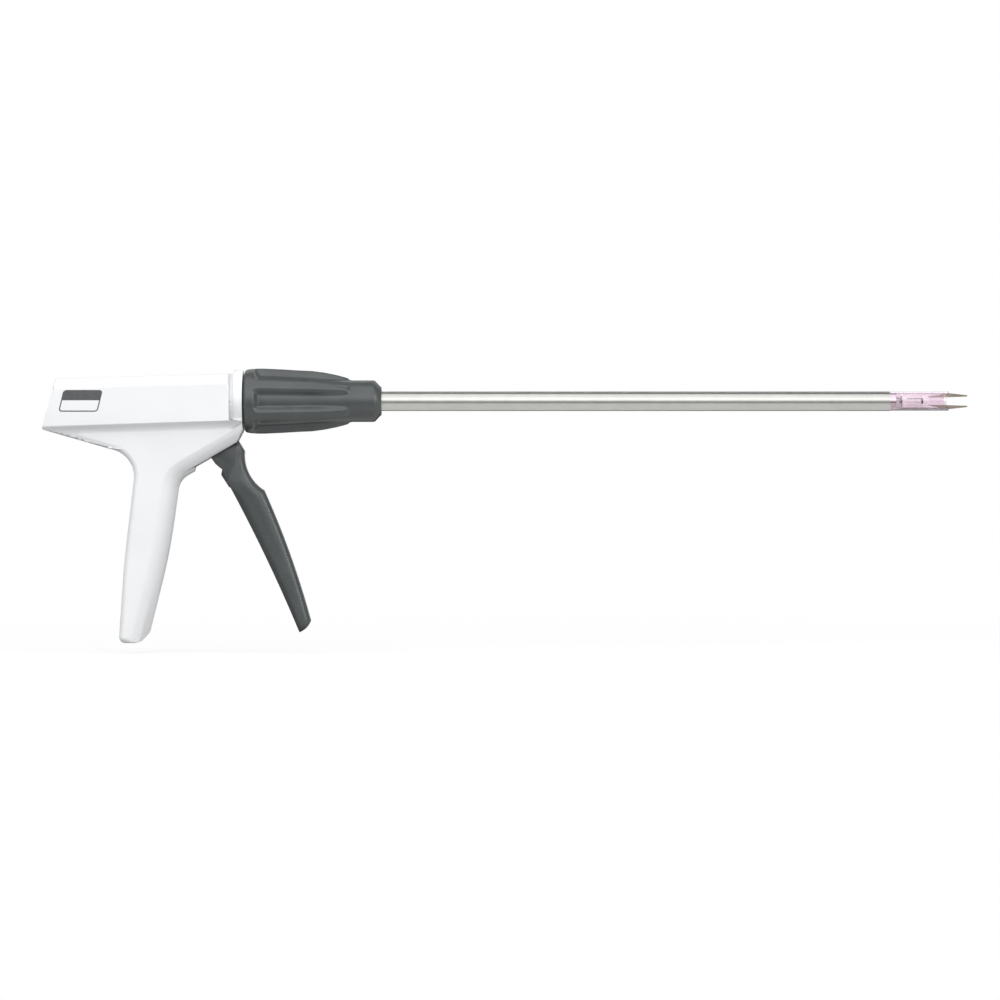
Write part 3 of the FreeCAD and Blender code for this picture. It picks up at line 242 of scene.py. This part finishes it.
def new_piece(name, mesh_maker, material, body):
    """A mesh object from a bmesh that mesh_maker fills, with its material and body."""
    mesh = bpy.data.meshes.new(name)
    made = bmesh.new()
    mesh_maker(made)
    bmesh.ops.recalc_face_normals(made, faces=made.faces)
    made.to_mesh(mesh)
    made.free()
    mesh.materials.append(material)
    piece = bpy.data.objects.new(name, mesh)
    bpy.context.scene.collection.objects.link(piece)
    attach(piece, body)
    return piece


def bridge(made, loops, closed=False):
    """Quads between neighbouring loops of vertices."""
    pairs = list(zip(loops, loops[1:] + loops[:1])) if closed else list(zip(loops, loops[1:]))
    for first, second in pairs:
        for here in range(len(first)):
            beside = (here + 1) % len(first)
            made.faces.new((first[here], first[beside], second[beside], second[here]))


def ink_ring(made):
    """The outline as a closed ring of ink, front face and thin edge."""
    half = BADGE_HEIGHT / 2
    loops = []
    for inset, depth in ((0, 0), (0, INK_PROUD), (BADGE_LINE, INK_PROUD), (BADGE_LINE, 0)):
        loops.append([
            made.verts.new((x, FLAT_SIDE - depth, z))
            for x, z in panel_outline(inset, -half, half)])
    bridge(made, loops, closed=True)


def ink_band(made):
    """The solid band that fills the top of the panel, just inside the outline."""
    half = BADGE_HEIGHT / 2
    low = BADGE_CENTRE[1] + half - BADGE_BAND
    ring = [(x, max(z, low)) for x, z in panel_outline(BADGE_LINE, -half, half)]
    lean = BADGE_SLANT * (low - BADGE_CENTRE[1]) / BADGE_HEIGHT
    reach = BADGE_WIDTH / 2 - BADGE_LINE
    top = [point for point in ring if point[1] > low]
    ring = top + [(BADGE_CENTRE[0] + lean + side * reach, low) for side in (-1, 1)]
    front = [made.verts.new((x, FLAT_SIDE - INK_PROUD, z)) for x, z in ring]
    back = [made.verts.new((x, FLAT_SIDE, z)) for x, z in ring]
    bridge(made, [front, back])
    made.faces.new(front)
    made.faces.new(list(reversed(back)))


ink, tree, shader = new_material("pad_printed_ink", IOR=1.5)
place = grain(tree, shader, size_mm=0.2, depth=0.03, roughness=0.5, spread=0.05)
tinted(tree, shader, place, INK_GREY, INK_WORN, size_mm=2.0, amount=0.5)
for name, maker in (("badge_outline", ink_ring), ("badge_band", ink_band)):
    badge = new_piece(name, maker, ink, "handle")

# Trigger: one lever of dark grey glass-filled nylon, moulded with a matte grain. Its
# finger side is rounded and catches a soft highlight, which its shading widens. The
# narrower web above it runs up into the housing to the pivot pin.
NYLON_GREY = "#434747"
NYLON_PALE = "#4C5050"
NYLON_ROUGHNESS = 0.32
NYLON_GRAIN_MM = 0.4
LEVER_ROUNDING = 5.0 * MM     # how far the shading rounds over the lever's edges

nylon_grey, tree, shader = new_material("moulded_grey_nylon", IOR=1.53)
place = grain(tree, shader, NYLON_GRAIN_MM, depth=0.08, roughness=NYLON_ROUGHNESS, spread=0.05)
tinted(tree, shader, place, NYLON_GREY, NYLON_PALE, size_mm=12.0, amount=0.7)
lever_grey = nylon_grey.copy()
lever_grey.name = "moulded_grey_nylon_lever"
tree = lever_grey.node_tree
rounding = add(tree, "ShaderNodeBevel", {"Radius": LEVER_ROUNDING}, samples=12)
tree.links.new(rounding.outputs[0], tree.nodes["Bump"].inputs["Normal"])


def as_it_is(corner):
    """No change: the solid's own form."""


refined("trigger", as_it_is, lever_grey, "trigger")

# Rotation knob: the same dark grey moulding, turned between finger and thumb. Six
# U-shaped flutes with flat floors run from the plain rear ring to the nose, where the
# lands between them die out. One flute faces the viewer. This mesh has the moulded
# flutes' full form, which the solid gives with round scoops.
KNOB_STEPS = 216             # round the knob; a multiple of the flutes
KNOB_PROFILE = (             # place and radius of the lands, from the rear ring to the nose
    (-69.6, 14.9), (-69.3, 15.5), (-68.6, 16.0), (-67.2, 16.25), (-66.0, 16.4), (-63.0, 16.6),
    (-59.9, 16.6), (-50.7, 16.2), (-41.6, 15.65), (-35.4, 15.4), (-29.3, 14.6), (-23.2, 13.4),
    (-19.0, 12.3), (-17.2, 11.75), (-16.2, 10.9), (-15.0, 10.6), (-4.2, 10.6), (-3.3, 10.4),
    (-0.7, 7.6), (0.0, 7.0),
)
KNOB_INSIDE = (              # from the nose round the tube's seat, the spigot and its cavity
    (0.0, 4.83), (-33.0, 4.83), (-33.0, 7.4), (-80.0, 7.4), (-80.0, 9.6), (-79.4, 9.6),
    (-79.4, 9.03), (-78.3, 9.03), (-78.3, 9.6), (-38.0, 9.6), (-38.0, 11.3), (-69.6, 11.3),
)
RING_STEP_MM = 0.7           # spacing of the rings along the lands
FLUTE_COUNT = 6
FLUTE_REAR = (-65.6, -61.4)  # the flute's square rear end rises between these places
FLUTE_HALF = (6.5, 5.6)      # half width at the rear and at the nose
FLUTE_WALL = 0.52            # share of the half width that the flat floor takes
FLOOR_RADIUS = (13.3, 10.6)  # the floor at the rear and at the nose
FLOOR_PLACES = (-60.0, -15.0)
FLOOR_BEND = 1.3             # how late the floor falls away towards the nose
FLUTE_FACING = math.pi       # the angle round the knob at which a flute faces the viewer


def eased(low, high, value):
    """A smooth rise from 0 at low to 1 at high."""
    share = min(max((value - low) / (high - low), 0.0), 1.0)
    return share * share * (3 - 2 * share)


def between(points, place):
    """The radius at a place along a profile of (place, radius) points."""
    for (x0, r0), (x1, r1) in zip(points, points[1:]):
        if x0 <= place <= x1:
            return r0 + (r1 - r0) * (place - x0) / (x1 - x0)
    return points[-1][1]


def fluted_radius(place, angle):
    """The knob's radius in mm at a place along it and an angle round it."""
    land = between(KNOB_PROFILE, place)
    along = min(max((place - FLOOR_PLACES[0]) / (FLOOR_PLACES[1] - FLOOR_PLACES[0]), 0.0), 1.0)
    floor = FLOOR_RADIUS[0] + (FLOOR_RADIUS[1] - FLOOR_RADIUS[0]) * along ** FLOOR_BEND
    half = FLUTE_HALF[0] + (FLUTE_HALF[1] - FLUTE_HALF[0]) * along
    pitch = 2 * math.pi / FLUTE_COUNT
    off_centre = (angle + pitch / 2) % pitch - pitch / 2
    sideways = abs(land * math.sin(off_centre))
    wall = eased(FLUTE_WALL * half, half, sideways)
    depth = max(land - floor, 0.0) * eased(*FLUTE_REAR, place)
    return land - depth * (1 - wall)


def knob_rings():
    """Places of the rings: the profile's own corners with even steps between them."""
    places = []
    for (x0, _), (x1, _) in zip(KNOB_PROFILE, KNOB_PROFILE[1:]):
        steps = max(1, math.ceil((x1 - x0) / RING_STEP_MM)) if x1 < FLOOR_PLACES[1] else 1
        places += [x0 + (x1 - x0) * step / steps for step in range(steps)]
    return places + [KNOB_PROFILE[-1][0]]


def knob_form(made):
    """Closed loops round the axis, out along the fluted side and back through the bore."""
    turns = [2 * math.pi * step / KNOB_STEPS for step in range(KNOB_STEPS)]
    loops = []
    for place in knob_rings():
        ring = []
        for turn in turns:
            radius = fluted_radius(place, turn - FLUTE_FACING)
            ring.append(made.verts.new((
                place * MM, radius * math.cos(turn) * MM, radius * math.sin(turn) * MM)))
        loops.append(ring)
    for place, radius in KNOB_INSIDE:
        loops.append([
            made.verts.new((place * MM, radius * math.cos(turn) * MM, radius * math.sin(turn) * MM))
            for turn in turns])
    bridge(made, loops, closed=True)


knob = new_piece("knob_moulding", knob_form, nylon_grey, "shaft")
smooth(knob, angle_degrees=40)
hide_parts("rotation_knob")

# Bearing, drive collar, feed slider and shoe: natural acetal, turned or moulded, slightly
# translucent white with a waxy sheen and fine turning marks.
acetal, tree, shader = new_material(
    "natural_acetal", IOR=1.48, Subsurface_Weight=0.1, Subsurface_Radius=(0.002, 0.002, 0.002))
place = grain(tree, shader, size_mm=0.3, depth=0.05, roughness=0.38, spread=0.04)
tinted(tree, shader, place, "#E9E6DC", "#DFDCD0", size_mm=4.0, amount=0.6)
for name in ("knob_bush", "drive_collar", "feed_slider", "feeder_shoe"):
    dress(name, acetal)


# Pins, ratchet, pawl, rods, track and carrier: bright stainless steel, stamped, drawn or
# ground, with fine lines along the shaft from the drawing die.
def steel(name, colours, roughness, line_mm, stretch, depth=0.05):
    """Drawn steel: a noise stretched along the shaft gives its fine lines."""
    material, tree, shader = new_material(name, Metallic=1.0)
    place = add(tree, "ShaderNodeTexCoord").outputs["Object"]
    mapped = add(tree, "ShaderNodeMapping", {
        "Vector": place, "Scale": Vector((stretch, 1.0, 1.0))})
    lines = add(tree, "ShaderNodeTexNoise", {
        "Vector": mapped.outputs[0], "Scale": 1000 / line_mm, "Detail": 4.0})
    rough = add(tree, "ShaderNodeMapRange", {
        "Value": lines.outputs[0], "From Min": 0.3, "From Max": 0.7,
        "To Min": roughness - 0.04, "To Max": roughness + 0.05})
    bump = add(tree, "ShaderNodeBump", {
        "Height": lines.outputs[0], "Strength": depth, "Distance": 0.02 * MM})
    tree.links.new(rough.outputs[0], shader.inputs["Roughness"])
    tree.links.new(bump.outputs[0], shader.inputs["Normal"])
    tinted(tree, shader, place, *colours, size_mm=6.0, amount=0.6)
    return material


bright_steel = steel(
    "drawn_stainless", ("#CDCCCA", "#C2C1BF"), roughness=0.24, line_mm=0.12, stretch=0.04)
for name in (
        "trigger_pivot_pin", "pawl_pin", "ratchet_plate", "pawl", "spigot_ring", "closing_rod",
        "feed_bar", "clip_track", "jaw_carrier", "jaw_pins"):
    dress(name, bright_steel)

# Closing channel: the square frame of stainless strip that slides over the jaws, seen
# through the shroud, its folded edges polished bright.
channel_steel = steel(
    "folded_strip_steel", ("#E2E1E0", "#D5D4D3"), roughness=0.16, line_mm=0.15, stretch=0.05)
dress("closing_channel", channel_steel)

# Springs: coils of hard-drawn stainless wire, the wide one round the drive collar's sleeve
# and a slender one behind the row of clips. A helix tree lays the turns and sweeps the
# wire over the solid spring's length, between the two bodies that hold its ends.
SPRING_WIRE_SIDES = 10
SPRING_STEPS_PER_TURN = 28


def add_input(tree, kind, name, value):
    """A named input of a node group with its default value."""
    socket = tree.interface.new_socket(name, in_out="INPUT", socket_type=kind)
    socket.default_value = value
    return socket


def helix_tree():
    """Geometry Nodes: wire swept along a helix about the X axis."""
    tree = bpy.data.node_groups.new("wire_helix", "GeometryNodeTree")
    tree.interface.new_socket("Geometry", in_out="OUTPUT", socket_type="NodeSocketGeometry")
    for name, value in (("Turns", 8.0), ("Radius", 0.005), ("Length", 0.02), ("Wire Radius", 0.0004)):
        add_input(tree, "NodeSocketFloat", name, value)
    tree.interface.new_socket("Material", in_out="INPUT", socket_type="NodeSocketMaterial")
    given = add(tree, "NodeGroupInput").outputs
    steps = add(tree, "ShaderNodeMath", {
        0: given["Turns"], 1: float(SPRING_STEPS_PER_TURN)}, operation="MULTIPLY")
    spiral = add(tree, "GeometryNodeCurveSpiral", {
        "Resolution": SPRING_STEPS_PER_TURN, "Rotations": given["Turns"],
        "Start Radius": given["Radius"], "End Radius": given["Radius"], "Height": given["Length"]})
    even = add(tree, "GeometryNodeResampleCurve", {
        "Curve": spiral.outputs[0], "Count": steps.outputs[0]})
    laid = add(tree, "GeometryNodeTransform", {
        "Geometry": even.outputs[0], "Rotation": (0.0, math.pi / 2, 0.0)})
    section = add(tree, "GeometryNodeCurvePrimitiveCircle", {
        "Resolution": SPRING_WIRE_SIDES, "Radius": given["Wire Radius"]})
    wire = add(tree, "GeometryNodeCurveToMesh", {
        "Curve": laid.outputs[0], "Profile Curve": section.outputs[0], "Fill Caps": True})
    rounded = add(tree, "GeometryNodeSetShadeSmooth", {"Geometry": wire.outputs[0]})
    real = add(tree, "GeometryNodeRealizeInstances", {"Geometry": rounded.outputs[0]})
    painted = add(tree, "GeometryNodeSetMaterial", {
        "Geometry": real.outputs[0], "Material": given["Material"]})
    add(tree, "NodeGroupOutput", {"Geometry": painted.outputs[0]})
    return tree


def grown(name, tree, inputs, start):
    """A mesh object grown by a node tree with the given inputs, moved to its start."""
    seed = bpy.data.objects.new(name + "_seed", bpy.data.meshes.new(name + "_seed"))
    bpy.context.scene.collection.objects.link(seed)
    modifier = seed.modifiers.new("form", "NODES")
    modifier.node_group = tree
    for item in tree.interface.items_tree:
        if item.item_type == "SOCKET" and item.in_out == "INPUT" and item.name in inputs:
            modifier[item.identifier] = inputs[item.name]
    bpy.context.view_layer.update()
    evaluated = seed.evaluated_get(bpy.context.evaluated_depsgraph_get())
    mesh = bpy.data.meshes.new_from_object(evaluated)
    bpy.data.objects.remove(seed)
    mesh.name = name
    for vertex in mesh.vertices:
        vertex.co += Vector(start)
    piece = bpy.data.objects.new(name, mesh)
    bpy.context.scene.collection.objects.link(piece)
    return piece


spring_wire = steel(
    "hard_drawn_wire", ("#BFC0C0", "#B0B1B1"), roughness=0.22, line_mm=0.08, stretch=1.0)
helix = helix_tree()
for node_name, rear_body, front_body, turns, coil_mm, wire_mm in (
        ("return_spring", "closing_drive", "shaft", 9.0, 5.8, 0.45),
        ("feeder_spring", "shaft", "clip_row", 14.0, 0.6, 0.18)):
    low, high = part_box(node_name)
    spring = grown(node_name + "_wire", helix, {
        "Turns": turns, "Radius": coil_mm * MM, "Wire Radius": wire_mm * MM,
        "Length": high.x - low.x - 2 * wire_mm * MM, "Material": spring_wire,
    }, (low.x + wire_mm * MM, 0.0, 0.0))
    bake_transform(spring)
    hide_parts(node_name)

# Gas seal: a soft grey silicone plug, moulded round the rod and the feed bar.
silicone, tree, shader = new_material("moulded_silicone", IOR=1.41)
place = grain(tree, shader, size_mm=0.5, depth=0.06, roughness=0.55, spread=0.05)
tinted(tree, shader, place, "#B9BBB8", "#A9ABA8", size_mm=5.0, amount=0.6)
dress("gas_seal", silicone)

# Shaft tube: seamless stainless steel, centreless ground, so its lines run round the
# tube and the studio light draws long soft bands along it.
tube_steel = steel(
    "ground_stainless_tube", ("#BEBEBA", "#B6B6B2"), roughness=0.30, line_mm=0.10, stretch=6.0,
    depth=0.006)
dress("shaft_tube", tube_steel)

# Shroud: clear polycarbonate tinted lilac, moulded glossy, the steel of the closing
# channel showing through. The solid's two halves are welded into one thick-walled tube
# here, with its mouth scooped hollow between an upper and a lower lip.
SHROUD_LILAC = "#EFE3EB"
SHROUD_PALE = "#EBDCE7"
SHROUD_OUTER = 4.8 * MM
SHROUD_INNER = 4.4 * MM
SHROUD_SCOOP = 7.0 * MM       # radius of the scoop at the mouth
SHROUD_SCOOP_DEPTH = 1.9 * MM
SHROUD_STEPS = 96
SHROUD_RINGS = 24
SHROUD_EDGE = 0.12 * MM       # rounding of the mouth's edges
shroud_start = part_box("upper_shroud")[0].x
shroud_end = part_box("upper_shroud")[1].x


def mouth_place(height):
    """Where the scooped mouth lies along the shaft, at a height off the axis."""
    centre = shroud_end - SHROUD_SCOOP_DEPTH + SHROUD_SCOOP
    return min(centre - math.sqrt(SHROUD_SCOOP ** 2 - height ** 2), shroud_end)


def shroud_form(made):
    """Outer wall forwards to the mouth, round its edge and back along the inner wall."""
    turns = [2 * math.pi * step / SHROUD_STEPS for step in range(SHROUD_STEPS)]
    loops = []

    def ring(radius, share, pulled_back=0.0):
        loop = []
        for turn in turns:
            height = radius * math.sin(turn)
            front = mouth_place(height) - pulled_back
            loop.append(made.verts.new((
                shroud_start + share * (front - shroud_start), radius * math.cos(turn), height)))
        return loop

    for step in range(SHROUD_RINGS + 1):
        loops.append(ring(SHROUD_OUTER, step / SHROUD_RINGS, SHROUD_EDGE))
    loops.append(ring(SHROUD_OUTER - SHROUD_EDGE, 1.0))
    loops.append(ring(SHROUD_INNER + SHROUD_EDGE, 1.0))
    for step in range(SHROUD_RINGS, -1, -1):
        loops.append(ring(SHROUD_INNER, step / SHROUD_RINGS, SHROUD_EDGE))
    bridge(made, loops, closed=True)


lilac_clear, tree, shader = new_material(
    "clear_lilac_polycarbonate", IOR=1.586, Transmission_Weight=1.0)
place = grain(tree, shader, size_mm=0.8, depth=0.02, roughness=0.03, spread=0.01)
tinted(tree, shader, place, SHROUD_LILAC, SHROUD_PALE, size_mm=3.0, amount=0.6)
shroud = new_piece("clear_shroud", shroud_form, lilac_clear, "shaft")
smooth(shroud, angle_degrees=30)
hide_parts("upper_shroud", "lower_shroud")

# Channel rims: the strip's folded edges stand out as bright round rims on both sides of
# the channel, the rectangle that shows through the shroud.
RIM_RADIUS = 0.2 * MM
RIM_SIDES = 10
RIM_INSET = 0.05 * MM         # from the channel's edge to the rim's outside


def rim_form(made):
    """Round wire round the channel's rectangle, once on each side of the shaft."""
    low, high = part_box("closing_channel")
    inset = RIM_RADIUS + RIM_INSET
    corners = (
        (low.x + inset, low.z + inset), (high.x - inset, low.z + inset),
        (high.x - inset, high.z - inset), (low.x + inset, high.z - inset))
    for side in (low.y, high.y):
        loops = []
        for index, (x, z) in enumerate(corners):
            before = corners[index - 1]
            after = corners[(index + 1) % 4]
            outward = Vector((
                math.copysign(1.0, 2 * x - before[0] - after[0]), 0.0,
                math.copysign(1.0, 2 * z - before[1] - after[1])))
            loop = []
            for step in range(RIM_SIDES):
                turn = 2 * math.pi * step / RIM_SIDES
                offset = outward * RIM_RADIUS * math.cos(turn)
                offset += Vector((0.0, RIM_RADIUS * math.sin(turn), 0.0))
                loop.append(made.verts.new(Vector((x, side, z)) + offset))
            loops.append(loop)
        bridge(made, loops, closed=True)


rims = new_piece("channel_rims", rim_form, channel_steel, "closing_drive")
smooth(rims, angle_degrees=50)

# Jaws: hardened stainless steel, heat-browned, with ground edges.
jaw_steel = steel(
    "browned_jaw_steel", ("#9A9084", "#857A6D"), roughness=0.30, line_mm=0.15, stretch=0.1)
for name in ("upper_jaw", "lower_jaw"):
    dress(name, jaw_steel)

# Clips: twenty bent titanium wires in a row, matte grey from the forming die. One clip
# is swept from its wire and a tree sets the row behind the jaws.
CLIP_COUNT = 20
CLIP_PITCH = 8.6 * MM
CLIP_LENGTH = 8.2 * MM
CLIP_HALF_WIRE = 0.4 * MM
CLIP_HALF_THICKNESS = 0.42 * MM
CLIP_PATH_MM = (              # the wire's middle line, tip to tip, forward and up from the crown
    (8.2, 1.9), (5.4, 1.9), (3.1, 1.9), (2.6, 1.72), (0.9, 0.52), (0.45, 0.2),
    (0.45, -0.2), (0.9, -0.52), (2.6, -1.72), (3.1, -1.9), (5.4, -1.9), (8.2, -1.9),
)
CLIP_WIRE_SIDES = 12


def clip_form(made):
    """One clip: an oval wire section carried along the bent path."""
    path = [Vector((x * MM, 0.0, z * MM)) for x, z in CLIP_PATH_MM]
    loops = []
    for index, here in enumerate(path):
        before = path[max(index - 1, 0)]
        after = path[min(index + 1, len(path) - 1)]
        along = (after - before).normalized()
        sideways = Vector((-along.z, 0.0, along.x))
        loop = []
        for step in range(CLIP_WIRE_SIDES):
            turn = 2 * math.pi * step / CLIP_WIRE_SIDES
            offset = sideways * CLIP_HALF_WIRE * math.cos(turn)
            offset += Vector((0.0, CLIP_HALF_THICKNESS * math.sin(turn), 0.0))
            loop.append(made.verts.new(here + offset))
        loops.append(loop)
    bridge(made, loops)
    made.faces.new(list(reversed(loops[0])))
    made.faces.new(loops[-1])


def row_tree():
    """Geometry Nodes: one object set at even steps rearward along X."""
    tree = bpy.data.node_groups.new("clip_row", "GeometryNodeTree")
    tree.interface.new_socket("Geometry", in_out="OUTPUT", socket_type="NodeSocketGeometry")
    add_input(tree, "NodeSocketInt", "Count", 1)
    add_input(tree, "NodeSocketVector", "Step", (0.0, 0.0, 0.0))
    tree.interface.new_socket("Part", in_out="INPUT", socket_type="NodeSocketObject")
    tree.interface.new_socket("Material", in_out="INPUT", socket_type="NodeSocketMaterial")
    given = add(tree, "NodeGroupInput").outputs
    line = add(tree, "GeometryNodeMeshLine", {
        "Count": given["Count"], "Offset": given["Step"]}, mode="OFFSET")
    part = add(tree, "GeometryNodeObjectInfo", {"Object": given["Part"], "As Instance": True})
    row = add(tree, "GeometryNodeInstanceOnPoints", {
        "Points": line.outputs[0], "Instance": part.outputs["Geometry"]})
    real = add(tree, "GeometryNodeRealizeInstances", {"Geometry": row.outputs[0]})
    painted = add(tree, "GeometryNodeSetMaterial", {
        "Geometry": real.outputs[0], "Material": given["Material"]})
    add(tree, "NodeGroupOutput", {"Geometry": painted.outputs[0]})
    return tree


titanium = steel(
    "formed_titanium_wire", ("#9A9793", "#8B8884"), roughness=0.38, line_mm=0.1, stretch=0.3)
one_clip = new_piece("one_clip", clip_form, titanium, "clip_row")
smooth(one_clip, angle_degrees=50)
first_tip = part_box("clips")[1].x
clip_row = grown("clip_row_wires", row_tree(), {
    "Count": CLIP_COUNT, "Step": (-CLIP_PITCH, 0.0, 0.0), "Part": one_clip, "Material": titanium,
}, (first_tip - CLIP_LENGTH, 0.0, 0.0))
bpy.data.objects.remove(one_clip)
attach(clip_row, "clip_row")
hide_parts("clips")

# Floor and backdrop: a seamless pale sweep under and behind the instrument. To the lens
# and in reflections it is white paper that still keeps part of the instrument's shadow.
FLOOR_Z = -128.5 * MM
PAPER_WHITE = "#FFFFFF"
PAPER_BOUNCE = "#8C8C8C"      # what the paper throws back on the instrument
PAPER_GLOW = 0.80             # how much of the white near the instrument is even, over its shadow
SHADOW_REACH = (0.30, 0.75)   # between these distances from the origin the white gets fully even
SWEEP_FRONT = -6.0
SWEEP_BEND = 3.0
SWEEP_RADIUS = 0.5
SWEEP_TOP = 0.9
SWEEP_HALF_WIDTH = 7.0
SWEEP_STEPS = 12


def sweep(made):
    """A floor that curves up into a backdrop behind."""
    profile = [(SWEEP_FRONT, FLOOR_Z), (SWEEP_BEND, FLOOR_Z)]
    for step in range(1, SWEEP_STEPS + 1):
        angle = math.pi / 2 * step / SWEEP_STEPS
        profile.append((
            SWEEP_BEND + SWEEP_RADIUS * math.sin(angle),
            FLOOR_Z + SWEEP_RADIUS * (1 - math.cos(angle))))
    profile.append((SWEEP_BEND + SWEEP_RADIUS, SWEEP_TOP))
    rows = [
        [made.verts.new((x, y, z)) for x in (-SWEEP_HALF_WIDTH, SWEEP_HALF_WIDTH)]
        for y, z in profile]
    for near, far in zip(rows, rows[1:]):
        made.faces.new((near[0], near[1], far[1], far[0]))


def staged(name, maker, material):
    """An object of the studio, which isn't part of the instrument."""
    mesh = bpy.data.meshes.new(name)
    made = bmesh.new()
    maker(made)
    made.to_mesh(mesh)
    made.free()
    mesh.materials.append(material)
    thing = bpy.data.objects.new(name, mesh)
    bpy.context.scene.collection.objects.link(thing)
    return thing


def seen_ray(tree):
    """1 for rays from the lens, off gloss or through glass, and 0 for the rest."""
    path = add(tree, "ShaderNodeLightPath").outputs
    either = add(tree, "ShaderNodeMath", {
        0: path["Is Camera Ray"], 1: path["Is Glossy Ray"]}, operation="MAXIMUM")
    return add(tree, "ShaderNodeMath", {
        0: either.outputs[0], 1: path["Is Transmission Ray"]}, operation="MAXIMUM").outputs[0]


paper, tree, shader = new_material("white_paper_sweep", Roughness=0.9)
seen = seen_ray(tree)
paper_colour = add(tree, "ShaderNodeMix", {
    "Factor": seen, "A": linear(PAPER_BOUNCE), "B": linear(PAPER_WHITE)}, data_type="RGBA")
tree.links.new(paper_colour.outputs["Result"], shader.inputs["Base Color"])
white = add(tree, "ShaderNodeEmission", {"Color": linear(PAPER_WHITE), "Strength": 1.0})
place = add(tree, "ShaderNodeTexCoord").outputs["Object"]
far_off = add(tree, "ShaderNodeVectorMath", {0: place}, operation="LENGTH").outputs["Value"]
glow = add(tree, "ShaderNodeMapRange", {
    "Value": far_off, "From Min": SHADOW_REACH[0], "From Max": SHADOW_REACH[1],
    "To Min": PAPER_GLOW, "To Max": 1.0})
share = add(tree, "ShaderNodeMath", {0: seen, 1: glow.outputs[0]}, operation="MULTIPLY")
mixed = add(tree, "ShaderNodeMixShader", {
    0: share.outputs[0], 1: shader.outputs[0], 2: white.outputs[0]})
output = next(node for node in tree.nodes if node.type == "OUTPUT_MATERIAL")
tree.links.new(mixed.outputs[0], output.inputs["Surface"])
staged("paper_sweep", sweep, paper)

# Grey cards: they lie on the floor before and behind the instrument, out of the lens's
# sight, and give the tube the darker band under its bright one and its dark lower edge.
CARD_SPANS = ((-1.3, -0.30), (0.13, 1.8))
CARD_HALF_WIDTH = 1.2
CARD_GREY = "#4A4A4A"


def card_form(made):
    """Two flat sheets just over the floor, one before and one behind the instrument."""
    height = FLOOR_Z + MM
    for near, far in CARD_SPANS:
        corners = (
            (-CARD_HALF_WIDTH, near), (CARD_HALF_WIDTH, near),
            (CARD_HALF_WIDTH, far), (-CARD_HALF_WIDTH, far))
        made.faces.new([made.verts.new((x, y, height)) for x, y in corners])


grey_card, tree, shader = new_material("grey_studio_card", Roughness=0.9)
shader.inputs["Base Color"].default_value = linear(CARD_GREY)
cards = staged("grey_cards", card_form, grey_card)
cards.visible_camera = False
cards.visible_diffuse = False
cards.visible_shadow = False

# Studio light: one broad softbox above, a wide soft one in front to open the shadows, one
# on the right for the trigger's rounded front, and one behind and above for the top edges.
# A last one behind opens the far side, and nothing glossy reflects it.
AIM = (0.06, 0.0, -0.03)


def softbox(name, size, power, place):
    """A rectangular area lamp that faces the instrument."""
    lamp = bpy.data.lights.new(name, "AREA")
    lamp.shape = "RECTANGLE"
    lamp.size, lamp.size_y = size
    lamp.energy = power
    lamp_object = bpy.data.objects.new(name, lamp)
    lamp_object.location = place
    aim = Vector(AIM) - Vector(place)
    lamp_object.rotation_mode = "QUATERNION"
    lamp_object.rotation_quaternion = aim.to_track_quat("-Z", "Y")
    bpy.context.scene.collection.objects.link(lamp_object)
    return lamp_object


softbox("softbox_top", (3.2, 2.4), 34.0, (-0.2, -0.85, 1.05))
softbox("softbox_front", (3.2, 1.6), 12.0, (-0.5, -1.9, 0.75))
softbox("softbox_right", (0.6, 1.2), 11.0, (1.4, -0.9, 0.5))
softbox("strip_back", (1.6, 0.25), 2.0, (0.1, 0.9, 0.8))
far_side = softbox("softbox_behind", (1.4, 0.9), 14.0, (-0.3, 2.0, 0.45))
far_side.visible_glossy = False
far_side.visible_camera = False

# World: grey studio walls for the light, white for the lens and through the shroud.
WALL_GREY = "#C4C4C6"
WALL_LIGHT = 0.34
world = bpy.data.worlds.new("studio")
bpy.context.scene.world = world
world.use_nodes = True
tree = world.node_tree
tree.nodes.clear()
walls = add(tree, "ShaderNodeBackground", {"Color": linear(WALL_GREY), "Strength": WALL_LIGHT})
bright = add(tree, "ShaderNodeBackground", {"Color": linear(PAPER_WHITE), "Strength": 1.0})
path = add(tree, "ShaderNodeLightPath").outputs
through = add(tree, "ShaderNodeMath", {
    0: path["Is Camera Ray"], 1: path["Is Transmission Ray"]}, operation="MAXIMUM")
mixed = add(tree, "ShaderNodeMixShader", {
    0: through.outputs[0], 1: walls.outputs[0], 2: bright.outputs[0]})
add(tree, "ShaderNodeOutputWorld", {"Surface": mixed.outputs[0]})

# Camera: square on to the side, about two metres off, with the picture's framing.
CAMERA_DISTANCE = 2.07
FRAME_WIDTH = 0.510
FRAME_CENTRE = (0.0604, -0.0504)
SENSOR_MM = 36.0
camera_data = bpy.data.cameras.new("camera")
camera_data.sensor_width = SENSOR_MM
camera_data.lens = SENSOR_MM * CAMERA_DISTANCE / FRAME_WIDTH
camera = bpy.data.objects.new("camera", camera_data)
camera.location = (FRAME_CENTRE[0], -CAMERA_DISTANCE, FRAME_CENTRE[1])
camera.rotation_euler = (math.pi / 2, 0.0, 0.0)
bpy.context.scene.collection.objects.link(camera)
bpy.context.scene.camera = camera

bpy.context.scene.view_settings.view_transform = "Standard"
